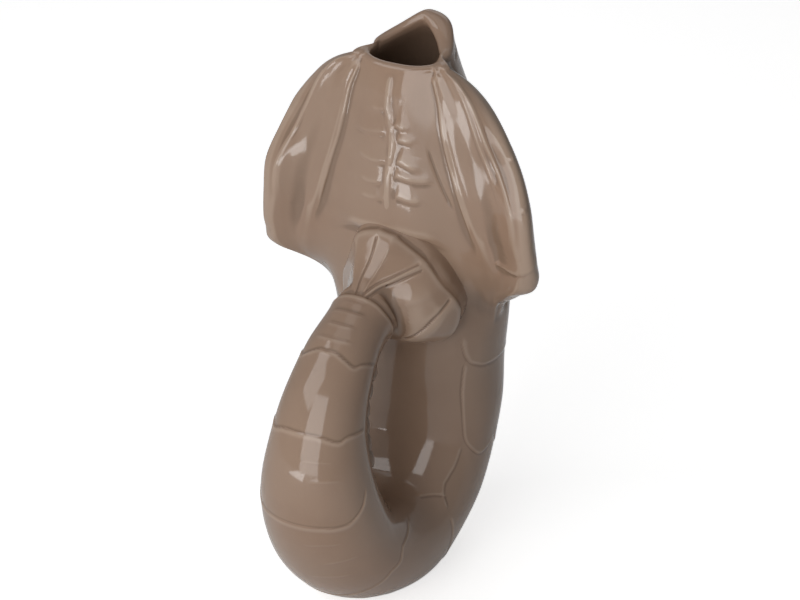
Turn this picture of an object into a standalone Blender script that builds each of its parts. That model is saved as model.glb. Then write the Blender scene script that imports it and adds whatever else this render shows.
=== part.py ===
"""A glazed ceramic vase in the form of a lobster that stands on the bend of its own tail.

The trunk is a hollow vessel, open between the claws at the top. The abdomen runs on from it as a
hollow tube, bends under to make the foot, climbs in front of the trunk as a loop and ends in a tail
fan luted to the belly. The pieces are the moulded sections, with a luting gap between neighbours.

The vase faces -Y with its belly, +X is the viewer's right, and the foot rests on z = 0.
"""

import math

import bmesh
import bpy
import numpy as np

MM = 0.001

# Walls and gaps
WALL = 5.0 * MM
GAP = 0.3 * MM  # the luting gap between two pieces
SEAM = 1.0 * MM  # the groove between a claw's two fingers

# Driving sizes of the body
RIM_HEIGHT = 309 * MM  # the mouth's middle above the sections' own zero
REACH = 65 * MM  # from the foot's middle forward to the tail's centre line
HALF_WIDTH = 48 * MM  # of the trunk at its widest
HALF_DEPTH = 42 * MM  # of the trunk at its deepest
FOOT_CUT = 10 * MM  # how much of the bend's underside the flat foot takes off
FOOT_THICKNESS = 4 * MM

# Sections of the body from the mouth down, round the foot, up the tail and into the fan.
# Turn in degrees, then shares: middle along REACH and RIM_HEIGHT, half width of HALF_WIDTH, and
# half depth to the belly and to the back of HALF_DEPTH. Last, how square each of those two sides
# is, where 2 is an ellipse.
SECTIONS = (
    (-16, 0.60, 1.000, 0.51, 0.42, 0.56, 2.8, 1.4),
    (-12, 0.62, 0.955, 0.55, 0.47, 0.79, 2.8, 1.55),
    (-6, 0.68, 0.880, 0.67, 0.60, 0.92, 2.8, 1.8),
    (-2, 0.76, 0.790, 0.82, 0.76, 0.92, 2.7, 2.0),
    (0, 0.84, 0.690, 0.95, 0.90, 1.02, 2.6, 2.0),
    (0, 0.88, 0.590, 1.03, 0.94, 1.02, 2.4, 2.0),
    (2, 0.88, 0.490, 1.02, 0.94, 1.00, 2.3, 2.0),
    (8, 0.86, 0.395, 0.96, 0.93, 1.06, 2.2, 2.0),
    (25, 0.76, 0.298, 0.94, 0.84, 1.12, 2.2, 2.0),
    (50, 0.54, 0.198, 0.91, 0.78, 1.10, 2.2, 2.0),
    (78, 0.14, 0.132, 0.87, 0.72, 1.00, 2.2, 2.1),
    (105, -0.32, 0.136, 0.81, 0.69, 0.83, 2.2, 2.0),
    (135, -0.70, 0.188, 0.73, 0.66, 0.75, 2.2, 2.0),
    (160, -0.92, 0.272, 0.67, 0.64, 0.68, 2.2, 2.0),
    (178, -0.98, 0.362, 0.59, 0.58, 0.61, 2.2, 2.0),
    (195, -0.87, 0.452, 0.50, 0.47, 0.49, 2.2, 2.0),
    (222, -0.57, 0.526, 0.42, 0.40, 0.39, 2.2, 2.0),
    (252, -0.20, 0.562, 0.37, 0.40, 0.39, 2.2, 2.0),
    (260, -0.02, 0.572, 0.47, 0.52, 0.52, 2.2, 2.0),
    (264, 0.16, 0.578, 0.61, 0.68, 0.70, 2.2, 2.0),
    (268, 0.34, 0.582, 0.71, 0.82, 0.84, 2.2, 2.0),
    (270, 0.60, 0.584, 0.74, 0.88, 0.88, 2.2, 2.0),
)

# Places, counted in sections, where one moulded piece ends and the next begins
MOUTH = 0.0
SOMITE_ENDS = (6.8, 8.45, 9.9, 11.65, 13.3, 14.7, 15.88)
TAIL_END = 17.2
FAN_END = 21.0
FOOT_PLACES = (8.6, 12.4)

# How finely the skins are drawn
POINTS_AROUND = 32
SECTION_STEPS = 2  # rings in each section

# The lip rises at the back of the mouth into a short beak
BEAK_RISE = 7 * MM
BEAK_SPREAD = 38  # degrees to each side
BEAK_FADE = 1.6  # sections

# Trims are the body's own skin grown by a gap, over the stretch that a luted piece sits on
TRUNK_TRIM = (-0.25, 8.0)
TAIL_TRIM = (11.0, TAIL_END)

# The chest plate lies on the belly between the claws
CHEST_THICKNESS = 3.4 * MM
CHEST_PLACES = (0.25, 4.05)
CHEST_ANGLES = (50, 76)  # degrees to each side of the middle, at its top and its bottom
CHEST_STEPS = 12

# One claw in millimetres, from its tip down to the wrist: the drop below RIM_HEIGHT, then x past
# the trunk's flank and y past its middle for the crease beside the chest, the valley, the front
# ridge, the outer edge, the back edge, and the core where the seam between the fingers ends.
FINGERS = (
    (3, -4, -12, -3, -12, -1, -12, 1, -10, -2, -6, -11, -3),
    (9, -4, -14, 1, -13, 7, -14, 11, -11, -1, 0, -13, 0),
    (21, -4, -16, 4, -13, 14, -16, 23, -11, 2, 9, -14, 3),
    (37, -5, -21, 7, -15, 19, -18, 30, -15, 5, 13, -15, 6),
    (54, -6, -25, 8, -17, 23, -21, 34, -19, 6, 15, -13, 7),
    (73, -5, -29, 11, -21, 28, -30, 37, -25, 8, 15, -11, 7),
    (91, -4, -31, 11, -24, 28, -35, 36, -27, 9, 14, -11, 6),
    (106, -4, -30, 11, -26, 28, -36, 35, -27, 9, 10, -11, 4),
)
WRIST = (
    FINGERS[-1],
    (113, -4, -28, 10, -25, 26, -35, 34, -25, 7, 8, -12, 4),
    (121, -4, -26, 8, -24, 22, -33, 30, -24, 5, 5, -13, 1),
    (129, -5, -22, 4, -20, 13, -26, 19, -16, 1, 3, -14, 0),
    (141, -7, -17, -1, -16, 4, -16, 7, -10, -3, 1, -14, -1),
    (159, -6, -13, -2, -13, 3, -13, 5, -8, -3, 0, -13, -3),
)
CREASE, RIDGE, BACK_EDGE, CORE = 0, 2, 4, 5  # the marks that the outlines start and end on
CLAW_STEPS = 2  # rings in each row
POINTS_A_CLAW_SIDE = 4

# The five blades of the fan, in degrees round it from the viewer's right over the top
BLADES = (
    ("uropod_right_outer", -48, 10),
    ("uropod_right_inner", 10, 58),
    ("telson", 58, 122),
    ("uropod_left_inner", 122, 170),
    ("uropod_left_outer", 170, 228),
)
BLADE_THICKNESS = 8 * MM
BLADE_STEP = 11  # degrees between a blade's own points

# The two rows of swimmerets inside the tail's loop
SWIMMERET_COUNT = 6
SWIMMERET_PLACES = (13.5, 15.9)
SWIMMERET_ANGLE = 34  # degrees to each side of the tail's inner middle
SWIMMERET_REACH = 13 * MM
SWIMMERET_HALF_THICKNESS = 4 * MM
SWIMMERET_NECK = 0.3  # the row's size between two flaps, as a share of a flap
SWIMMERET_POINTS = 8
SWIMMERET_STEPS = 4  # rings in each flap

# The glaze, one colour with a small change of shade from piece to piece
GLAZE_COLOUR = (0.32, 0.235, 0.185)
GLAZE_ROUGHNESS = 0.12
LIGHT_SHADE, PLAIN_SHADE, DARK_SHADE = 1.08, 1.0, 0.9


def start_scene():
    """An empty scene with one collection for the vase and one for its cutters."""
    for old in list(bpy.data.objects):
        bpy.data.objects.remove(old)
    found = []
    for name in ("lobster_vase", "cutters"):
        made = bpy.data.collections.new(name)
        bpy.context.scene.collection.children.link(made)
        found.append(made)
    return found


VASE, CUTTERS = start_scene()


def glaze(name, shade):
    made = bpy.data.materials.new(f"{name}_glaze")
    made.use_nodes = True
    shader = made.node_tree.nodes["Principled BSDF"]
    shader.inputs["Base Color"].default_value = [*(part * shade for part in GLAZE_COLOUR), 1]
    shader.inputs["Roughness"].default_value = GLAZE_ROUGHNESS
    shader.inputs["Metallic"].default_value = 0
    return made


def add_piece(name, points, faces, shade=PLAIN_SHADE):
    """One glazed piece from points in metres, with its faces turned outward."""
    mesh = bpy.data.meshes.new(name)
    mesh.from_pydata([tuple(point) for point in points], [], faces)
    sheet = bmesh.new()
    sheet.from_mesh(mesh)
    bmesh.ops.recalc_face_normals(sheet, faces=sheet.faces)
    sheet.to_mesh(mesh)
    sheet.free()
    mesh.materials.append(glaze(name, shade))
    made = bpy.data.objects.new(name, mesh)
    VASE.objects.link(made)
    return made


def as_cutter(piece):
    """Moves a piece to the cutters, where it is drawn as wire and not rendered."""
    VASE.objects.unlink(piece)
    CUTTERS.objects.link(piece)
    piece.hide_render = True
    piece.display_type = "WIRE"
    return piece


def cut(piece, cutter, operation="DIFFERENCE"):
    made = piece.modifiers.new(f"{operation.lower()}_{cutter.name}", "BOOLEAN")
    made.operation = operation
    made.object = cutter
    made.solver = "EXACT"


def between(rows, place):
    """A smooth curve through the rows, read at a place counted in rows."""
    table = np.asarray(rows, float)
    last = len(table) - 1
    first = int(min(max(math.floor(place), 0), last - 1))
    t = place - first
    before = table[first - 1] if first > 0 else 2 * table[0] - table[1]
    after = table[first + 2] if first + 2 <= last else 2 * table[last] - table[last - 1]
    here, there = table[first], table[first + 1]
    return 0.5 * (
        2 * here
        + (there - before) * t
        + (2 * before - 5 * here + 4 * there - after) * t**2
        + (3 * here - before - 3 * there + after) * t**3
    )


def beak_rise(place, angle):
    from_back = abs((angle - 270 + 180) % 360 - 180)
    fade = max(0.0, 1 - place / BEAK_FADE) ** 2
    return BEAK_RISE * fade * math.exp(-((from_back / BEAK_SPREAD) ** 2))


def section_point(place, angle, grow):
    """A point of the body's skin, grown outward: 90 degrees is the belly and 270 the back."""
    turn, y, z, half, belly, back, belly_square, back_square = between(SECTIONS, place)
    turn, around = math.radians(turn), math.radians(angle)
    side, out = math.cos(around), math.sin(around)
    square = belly_square if out > 0 else back_square
    width = HALF_WIDTH * half + grow
    depth = HALF_DEPTH * (belly if out > 0 else back) + grow
    across = width * math.copysign(abs(side) ** (2 / square), side)
    along = depth * math.copysign(abs(out) ** (2 / square), out)
    return (
        across,
        REACH * y - math.cos(turn) * along,
        RIM_HEIGHT * z + math.sin(turn) * along + beak_rise(place, angle),
    )


def places(start, end):
    """Where a stretch has its rings: at its ends and at the body's own steps between them.

    Neighbours share those steps, so their facets run side by side and keep their gap in the bends.
    """
    first, last = math.floor(start * SECTION_STEPS) + 1, math.ceil(end * SECTION_STEPS)
    return [start, *(step / SECTION_STEPS for step in range(first, last)), end]


def around_body():
    return [360 * step / POINTS_AROUND for step in range(POINTS_AROUND)]


def table_height():
    """Where the table lies among the sections, so that the foot takes its cut off the bend."""
    bend = [section_point(place, angle, 0) for place in places(*FOOT_PLACES) for angle in around_body()]
    return min(z for _, _, z in bend) + FOOT_CUT


TABLE = table_height()


def skin_point(place, angle, grow=0.0):
    x, y, z = section_point(place, angle, grow)
    return x, y, z - TABLE


def ring(place, grow=0.0, angles=None):
    return [skin_point(place, angle, grow) for angle in angles or around_body()]


def run_of_a_place(place):
    """How far the centre line runs in one section, which keeps gaps even round the bends."""
    step = 0.05
    low, high = between(SECTIONS, place - step), between(SECTIONS, place + step)
    return math.hypot(REACH * (high[1] - low[1]), RIM_HEIGHT * (high[2] - low[2])) / (2 * step)


def half_gap(place):
    return GAP / 2 / run_of_a_place(place)


def loft(rings, capped=True):
    """Points and faces of a skin through rings of equal length, capped, or closed on itself.

    Every quad is split the same way, so that two skins which share an edge also share their facets.
    """
    count = len(rings[0])
    points = [point for row in rings for point in row]
    faces = []
    for row in range(len(rings) - 1 if capped else len(rings)):
        top, below = row * count, (row + 1) % len(rings) * count
        for step in range(count):
            after = (step + 1) % count
            faces.append((top + step, top + after, below + after))
            faces.append((top + step, below + after, below + step))
    if capped:
        faces.append(tuple(range(count)))
        faces.append(tuple(range(len(points) - count, len(points))))
    return points, faces


def add_tube(name, start, end, shade):
    """A hollow section of the body, half a luting gap short at each joint."""
    top = start if start == MOUTH else start + half_gap(start)
    rows = places(top, end - half_gap(end))
    outer = [ring(place) for place in rows]
    inner = [ring(place, -WALL) for place in reversed(rows)]
    return add_piece(name, *loft(outer + inner, capped=False), shade)


def add_tail_root():
    """The last narrow piece of the tail, closed where the fan grows from it."""
    start = SOMITE_ENDS[-1] + half_gap(SOMITE_ENDS[-1])
    inner_end = TAIL_END - WALL / run_of_a_place(TAIL_END)
    inner = [ring(place, -WALL) for place in reversed(places(start, inner_end))]
    outer = [ring(place) for place in places(start, TAIL_END)]
    return add_piece("tail_root", *loft(inner + outer))


def add_trim(name, start, end):
    return as_cutter(add_piece(name, *loft([ring(place, GAP) for place in places(start, end)])))


def chest_rings(top, bottom, outside, spare=0.0):
    """Level cuts of a plate that follows the belly, from its bed in the wall to its face."""
    rings = []
    for place in places(top, bottom):
        share = (place - CHEST_PLACES[0]) / (CHEST_PLACES[1] - CHEST_PLACES[0])
        half = CHEST_ANGLES[0] + share**2 * (CHEST_ANGLES[1] - CHEST_ANGLES[0]) + spare
        angles = [90 + half * (2 * step / CHEST_STEPS - 1) for step in range(CHEST_STEPS + 1)]
        rings.append(ring(place, outside, angles) + ring(place, -WALL / 2, angles[::-1]))
    return rings


def add_chest_plate(trunk_trim):
    plate = add_piece("chest_plate", *loft(chest_rings(*CHEST_PLACES, CHEST_THICKNESS)), LIGHT_SHADE)
    cut(plate, trunk_trim)


def add_chest_trim():
    """The chest plate's block, a gap larger all round, which trims the claws and the fan."""
    top, bottom = CHEST_PLACES
    top, bottom = top - 2 * half_gap(top), bottom + 2 * half_gap(bottom)
    wider = math.degrees(GAP / HALF_DEPTH)
    return as_cutter(
        add_piece("chest_trim", *loft(chest_rings(top, bottom, CHEST_THICKNESS + GAP, wider)))
    )


def add_box_cutter(name, low, high):
    sheet = bmesh.new()
    bmesh.ops.create_cube(sheet, size=1)
    bmesh.ops.scale(sheet, vec=[b - a for a, b in zip(low, high)], verts=sheet.verts)
    bmesh.ops.translate(sheet, vec=[(a + b) / 2 for a, b in zip(low, high)], verts=sheet.verts)
    mesh = bpy.data.meshes.new(name)
    sheet.to_mesh(mesh)
    sheet.free()
    box = bpy.data.objects.new(name, mesh)
    VASE.objects.link(box)
    return as_cutter(box)


def add_foot_and_somites():
    """The six rings of the abdomen, and the flat foot cut from the bend's underside."""
    wide, long = 2 * HALF_WIDTH, 2 * REACH
    clear = add_box_cutter(
        "foot_clear", (-wide, -long, -FOOT_CUT - WALL), (wide, long, FOOT_THICKNESS + GAP)
    )
    slab = add_box_cutter("foot_slab", (-wide, -long, 0), (wide, long, FOOT_THICKNESS))
    for number, (start, end) in enumerate(zip(SOMITE_ENDS, SOMITE_ENDS[1:]), 1):
        somite = add_tube(f"somite_{number}", start, end, (LIGHT_SHADE, DARK_SHADE)[number % 2])
        cut(somite, clear)
    foot = add_piece("foot", *loft([ring(place) for place in places(*FOOT_PLACES)]))
    cut(foot, slab, "INTERSECT")


def trunk_at(height):
    """The trunk's half width and its middle's y at a height of the sections."""
    rows = [between(SECTIONS, place) for place in places(*TRUNK_TRIM)]
    heights = [RIM_HEIGHT * row[2] for row in rows[::-1]]
    flanks = [HALF_WIDTH * row[3] for row in rows[::-1]]
    middles = [REACH * row[1] for row in rows[::-1]]
    return np.interp(height, heights, flanks), np.interp(height, heights, middles)


def claw_outline(row, part):
    """One level cut of a claw: its front finger, its back finger, or the wrist that joins them."""
    height = RIM_HEIGHT - row[0] * MM
    marks = np.asarray(row[1:]).reshape(-1, 2) * MM + trunk_at(height)
    first, last = {
        "front": (CREASE, RIDGE),
        "back": (RIDGE, BACK_EDGE),
        "wrist": (CREASE, BACK_EDGE),
    }[part]
    track = [marks[CORE], *marks]
    steps = range((last - first) * POINTS_A_CLAW_SIDE + 1)
    points = [between(track, 1 + first + step / POINTS_A_CLAW_SIDE) for step in steps]
    if part == "back":
        points.reverse()
    points.append(marks[CORE])
    if part != "wrist":
        # The seam runs from the ridge to the core, and each finger stays half of it clear.
        along = marks[CORE] - marks[RIDGE]
        away = np.array([-along[1], along[0]]) / np.linalg.norm(along) * SEAM / 2
        points[-2:] = [point + away * (1 if part == "front" else -1) for point in points[-2:]]
    return [(x, y, height - TABLE) for x, y in points]


def claw_rings(rows, part, side):
    count = (len(rows) - 1) * CLAW_STEPS
    cuts = [claw_outline(between(rows, step / CLAW_STEPS), part) for step in range(count + 1)]
    return [[(side * x, y, z) for x, y, z in row] for row in cuts]


def add_claws(trims):
    """Both claws, each a front finger with the palm, a back finger and a wrist."""
    last_drop, *last_marks = FINGERS[-1]
    fingers = [*FINGERS[:-1], (last_drop - GAP / MM, *last_marks)]
    for hand, side in (("left", -1), ("right", 1)):
        for name, rows, part, shade in (
            ("palm", fingers, "front", LIGHT_SHADE),
            ("finger", fingers, "back", DARK_SHADE),
            ("wrist", WRIST, "wrist", PLAIN_SHADE),
        ):
            piece = add_piece(f"claw_{hand}_{name}", *loft(claw_rings(rows, part, side)), shade)
            for trim in trims:
                cut(piece, trim)


def add_blade(name, low, high, shade, trims):
    """One blade of the fan, from the tail's end to the belly, half a gap clear of its neighbours."""
    steps = max(3, round((high - low) / BLADE_STEP))
    rings = []
    for place in places(TAIL_END + 2 * half_gap(TAIL_END), FAN_END):
        radius = HALF_WIDTH * between(SECTIONS, place)[3] - BLADE_THICKNESS
        clear = math.degrees(GAP / 2 / radius)
        start, end = low + clear, high - clear
        # The fan's upper side is the lobster's back, so its angles run the other way round.
        angles = [-(start + (end - start) * step / steps) for step in range(steps + 1)]
        rings.append(ring(place, 0, angles) + ring(place, -BLADE_THICKNESS, angles[::-1]))
    blade = add_piece(name, *loft(rings), shade)
    for trim in trims:
        cut(blade, trim)


def add_swimmerets(name, angle, trim):
    """A row of small rounded flaps joined at their roots, inside the tail's loop."""
    steps = SWIMMERET_COUNT * SWIMMERET_STEPS
    start, end = SWIMMERET_PLACES
    turns = [math.tau * (corner + 0.5) / SWIMMERET_POINTS for corner in range(SWIMMERET_POINTS)]
    rings = []
    for step in range(steps + 1):
        share = step / steps
        place = start + share * (end - start)
        bulge = abs(math.sin(math.pi * SWIMMERET_COUNT * share))
        swell = SWIMMERET_NECK + (1 - SWIMMERET_NECK) * bulge
        middle = np.array(skin_point(place, angle))
        outward = (np.array(skin_point(place, angle, SWIMMERET_REACH)) - middle) * swell
        sideways = np.array([SWIMMERET_HALF_THICKNESS, 0, 0]) * swell
        rings.append([middle + outward * math.cos(t) + sideways * math.sin(t) for t in turns])
    cut(add_piece(name, *loft(rings), DARK_SHADE), trim)


def build():
    trunk_trim = add_trim("trunk_trim", *TRUNK_TRIM)
    tail_trim = add_trim("tail_trim", *TAIL_TRIM)
    chest_trim = add_chest_trim()
    add_tube("carapace", MOUTH, SOMITE_ENDS[0], PLAIN_SHADE)
    add_foot_and_somites()
    add_tail_root()
    add_chest_plate(trunk_trim)
    add_claws((trunk_trim, chest_trim))
    for number, blade in enumerate(BLADES):
        add_blade(*blade, (LIGHT_SHADE, DARK_SHADE)[number % 2], (trunk_trim, chest_trim))
    add_swimmerets("swimmerets_right", 90 - SWIMMERET_ANGLE, tail_trim)
    add_swimmerets("swimmerets_left", 90 + SWIMMERET_ANGLE, tail_trim)


build()
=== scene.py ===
# %% [markdown]
# # A lobster vase in glazed ceramic
# The vase is one hollow casting: a trunk open between two claws, a tail that bends under to make the
# foot, and a fan that joins the belly. It could be sculpted by hand, or built from many separate
# lofts. Here the whole skin is one fine grid of points, because a glaze runs over every joint and
# rounds it, and one grid keeps its reflections unbroken. The grid is then cut into closed pieces.

import math

import bpy
import numpy as np
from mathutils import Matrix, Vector


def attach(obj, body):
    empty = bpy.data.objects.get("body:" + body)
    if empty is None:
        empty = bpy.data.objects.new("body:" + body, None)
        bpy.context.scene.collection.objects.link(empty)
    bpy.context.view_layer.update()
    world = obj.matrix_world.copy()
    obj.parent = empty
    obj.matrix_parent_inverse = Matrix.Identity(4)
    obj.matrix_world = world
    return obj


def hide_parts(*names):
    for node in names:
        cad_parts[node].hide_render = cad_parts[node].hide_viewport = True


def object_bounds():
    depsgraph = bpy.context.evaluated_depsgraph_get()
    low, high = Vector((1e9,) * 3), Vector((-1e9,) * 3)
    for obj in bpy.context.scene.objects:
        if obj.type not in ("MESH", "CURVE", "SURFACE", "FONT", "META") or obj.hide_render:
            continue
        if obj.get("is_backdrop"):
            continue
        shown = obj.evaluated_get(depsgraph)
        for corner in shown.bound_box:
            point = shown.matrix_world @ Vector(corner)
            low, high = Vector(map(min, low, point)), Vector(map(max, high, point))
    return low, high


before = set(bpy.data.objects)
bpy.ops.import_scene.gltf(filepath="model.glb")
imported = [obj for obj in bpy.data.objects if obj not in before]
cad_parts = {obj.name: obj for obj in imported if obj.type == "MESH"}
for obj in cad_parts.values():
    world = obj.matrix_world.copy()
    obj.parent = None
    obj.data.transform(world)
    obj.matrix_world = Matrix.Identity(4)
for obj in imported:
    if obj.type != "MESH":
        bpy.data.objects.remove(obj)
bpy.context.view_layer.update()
MM = 0.001
print("nodes in the frame:", len(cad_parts))

# %% [markdown]
# ## The body's sections
# A potter's template would be a stack of cut-out sections along a bent rod. This table is that
# stack: each row has the rod's turn in degrees, then the section's middle, half width and half
# depths as shares of four driving sizes, and how square its belly and back are. A smooth curve
# through the rows gives a section at any place between them, counted in rows.

# %% Sections from the mouth down, round the foot, up the tail and into the fan
RIM_HEIGHT, REACH, HALF_WIDTH, HALF_DEPTH = 309 * MM, 65 * MM, 48 * MM, 42 * MM
WALL = 5 * MM
FOOT_CUT = 10 * MM
SECTIONS = (
    (-16, 0.60, 1.000, 0.51, 0.42, 0.56, 2.8, 1.4),
    (-12, 0.62, 0.955, 0.55, 0.47, 0.79, 2.8, 1.55),
    (-6, 0.68, 0.880, 0.67, 0.60, 0.92, 2.8, 1.8),
    (-2, 0.76, 0.790, 0.82, 0.76, 0.92, 2.7, 2.0),
    (0, 0.84, 0.690, 0.95, 0.90, 1.02, 2.6, 2.0),
    (0, 0.88, 0.590, 1.03, 0.94, 1.02, 2.4, 2.0),
    (2, 0.88, 0.490, 1.02, 0.94, 1.00, 2.3, 2.0),
    (8, 0.86, 0.395, 0.96, 0.93, 1.06, 2.2, 2.0),
    (25, 0.76, 0.298, 0.94, 0.84, 1.12, 2.2, 2.0),
    (50, 0.54, 0.198, 0.91, 0.78, 1.10, 2.2, 2.0),
    (78, 0.14, 0.132, 0.87, 0.72, 1.00, 2.2, 2.1),
    (105, -0.32, 0.136, 0.81, 0.69, 0.83, 2.2, 2.0),
    (135, -0.70, 0.188, 0.73, 0.66, 0.75, 2.2, 2.0),
    (160, -0.92, 0.272, 0.67, 0.64, 0.68, 2.2, 2.0),
    (178, -0.98, 0.362, 0.59, 0.58, 0.61, 2.2, 2.0),
    (195, -0.87, 0.452, 0.50, 0.47, 0.49, 2.2, 2.0),
    (222, -0.57, 0.526, 0.42, 0.40, 0.39, 2.2, 2.0),
    (252, -0.20, 0.562, 0.37, 0.40, 0.39, 2.2, 2.0),
    (260, -0.02, 0.572, 0.47, 0.52, 0.52, 2.2, 2.0),
    (264, 0.16, 0.578, 0.61, 0.68, 0.70, 2.2, 2.0),
    (268, 0.34, 0.582, 0.71, 0.82, 0.84, 2.2, 2.0),
    (270, 0.60, 0.584, 0.74, 0.88, 0.88, 2.2, 2.0),
)
TURN, MIDDLE_Y, MIDDLE_Z, WIDTH, BELLY, BACKSIDE, BELLY_POWER, BACK_POWER = range(8)  # its columns
SOMITE_ENDS = (6.8, 8.45, 9.9, 11.65, 13.3, 14.7, 15.88)
TAIL_END, FAN_END = 17.0, 21.0
print("sections:", len(SECTIONS))


# %% Smooth curves and steps
def between(rows, place):
    """A smooth curve through the rows, read at every place of an array, counted in rows."""
    rows, place = np.asarray(rows, float), np.asarray(place, float)
    last = len(rows) - 1
    first = np.clip(np.floor(place).astype(int), 0, last - 1)
    t = (place - first)[..., None]
    track = np.vstack([2 * rows[0] - rows[1], rows, 2 * rows[-1] - rows[-2]])
    a, b, c, d = track[first], track[first + 1], track[first + 2], track[first + 3]
    square, cube = 2 * a - 5 * b + 4 * c - d, 3 * b - a - 3 * c + d
    return 0.5 * (2 * b + (c - a) * t + square * t**2 + cube * t**3)


def smooth_step(low, high, value):
    """0 up to low, 1 from high on, smooth between."""
    t = np.clip((value - low) / (high - low), 0, 1)
    return t * t * (3 - 2 * t)


def band(low, rise, fall, high, value):
    """0 up to low, 1 from rise to fall, 0 again from high on, smooth between."""
    return smooth_step(low, rise, value) * (1 - smooth_step(fall, high, value))


def bell(value, width):
    """1 at zero, and fading to both sides over a width."""
    return np.exp(-((value / width) ** 2))


def read(table, value):
    """Reads a table of pairs at any value, straight from one pair to the next."""
    return np.interp(value, *zip(*table))


def apart(angle, other):
    """The degrees between two angles, the short way round."""
    return np.abs((angle - other + 180) % 360 - 180)


# %% [markdown]
# ## The plain body
# Thrown clay would be round, but this body has a fuller belly and a flatter back. Each section is
# therefore a squarish oval with one power for its belly and one for its back, set on a plane that
# turns with the rod. One function gives the point at any place and angle, so that the same skin
# can be asked for as finely as a step needs, and also for a wall's thickness below the surface.

# %% A point of the plain body
BEAK, BEAK_RUN, BEAK_SPREAD = 7 * MM, 1.6, 38  # height, places down the back, degrees to each side
UNDERSIDE, SQUASH, LEVEL = 0.15, 0.8, 0.74  # how much, how low and how soon the fan is flat below


def section_frame(place):
    """The turn in radians, then the middle's y and z, of the section at a place."""
    row = between(SECTIONS, place)
    return np.radians(row[..., TURN]), REACH * row[..., MIDDLE_Y], RIM_HEIGHT * row[..., MIDDLE_Z]


def beak_rise(place, angle):
    """The lip rises at the back of the mouth into a short beak."""
    return BEAK * np.maximum(0, 1 - place / BEAK_RUN) ** 2 * bell(apart(angle, -90), BEAK_SPREAD)


def raise_section(place, angle, across, along, table):
    """Turns places on a section's own plane into points of the vase."""
    turn, y, z = section_frame(place)
    rise = beak_rise(place, angle)
    return np.stack([across, y - np.cos(turn) * along, z + np.sin(turn) * along + rise - table], -1)


def skin(place, angle, grow=0.0, table=0.0):
    """The plain body: 90 degrees is the belly, 0 the viewer's right and -90 the back."""
    place, angle = np.broadcast_arrays(np.asarray(place, float), np.asarray(angle, float))
    row, around = between(SECTIONS, place), np.radians(angle)
    side, out = np.cos(around), np.sin(around)
    belly = out > 0
    power = 2 / np.where(belly, row[..., BELLY_POWER], row[..., BACK_POWER])
    depth = HALF_DEPTH * np.where(belly, row[..., BELLY], row[..., BACKSIDE]) + grow
    reach = np.abs(out) ** power
    # From the tail's end on, the fan's underside is a little flatter.
    flat = smooth_step(17.2, 18.4, place) * belly
    level = SQUASH * LEVEL * np.tanh(reach / LEVEL) / np.tanh(1 / LEVEL)
    reach = reach + UNDERSIDE * flat * (level - reach) * reach
    across = (HALF_WIDTH * row[..., WIDTH] + grow) * np.sign(side) * np.abs(side) ** power
    return raise_section(place, angle, across, depth * np.sign(out) * reach, table)


# %% Where the table cuts the bend
BEND_PLACES = np.array([8.6, 9, 9.5, 10, 10.5, 11, 11.5, 12, 12.4])
TABLE = skin(BEND_PLACES[:, None], np.arange(0, 360, 360 / 32)[None])[..., 2].min() + FOOT_CUT
print("the table cuts the bend at", round(TABLE / MM, 2), "mm of the sections")

# %% [markdown]
# ## The claws
# Each claw hangs beside the trunk like a folded hand. It could be a model of its own, pushed into
# the trunk, but then the glaze would have a hard line to cross. Here it is part of the same skin.
# Its cross-section has six corners that matter: the crease beside the chest, the valley of the
# palm, the front ridge, the outer edge, the back edge and the core inside the trunk. The table
# gives them in millimetres from the tip down, past the trunk's flank in x and its middle in y.

# %% One claw's corners, by their drop below the rim
CLAW = (
    (3, -4, -12, -3, -12, -1, -12, 1, -10, -2, -6, -11, -3),
    (9, -3.5, -15.5, 2, -15.3, 7, -15, 11, -11, -1, 0, -13, 0),
    (21, -2.5, -18.5, 6, -18.2, 14.5, -18, 23, -11, 2, 9, -14, 3),
    (37, -3.8, -22.5, 7.5, -21.7, 19, -21, 30, -14, 5, 13, -15, 6),
    (54, -4.2, -25.5, 9, -24.3, 23, -24, 34, -17.5, 6, 15, -13, 7),
    (73, -2.2, -29.5, 12.5, -28, 28, -32, 37, -24, 8, 15, -11, 7),
    (91, 1, -31.5, 14, -30, 28, -35.5, 36, -27, 9, 14, -11, 6),
    (106, 4, -32, 15, -30.5, 28, -36, 35, -27, 9, 10, -11, 4),
    (113, 4, -31, 14.5, -30.5, 26, -35, 34, -25, 7, 8, -12, 4),
    (121, 3, -28.5, 12.5, -29, 22, -33, 30, -24, 5, 5, -13, 1),
    (129, -1, -24, 6, -24.5, 13, -26, 19, -16, 1, 3, -14, 0),
    (141, -6, -17.5, -1.5, -17, 4, -16, 7, -10, -3, 1, -14, -1),
    (159, -6, -13, -2, -13, 3, -13, 5, -8, -3, 0, -13, -3),
)
CLAW_FADE = (134, 156)  # the drops over which the wrist sinks into the flank
BACK_CREASE = -8.0  # the body angle where a claw's back meets the trunk
CREASE, VALLEY, RIDGE, OUTER, BACK, CORE = range(6)


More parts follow.
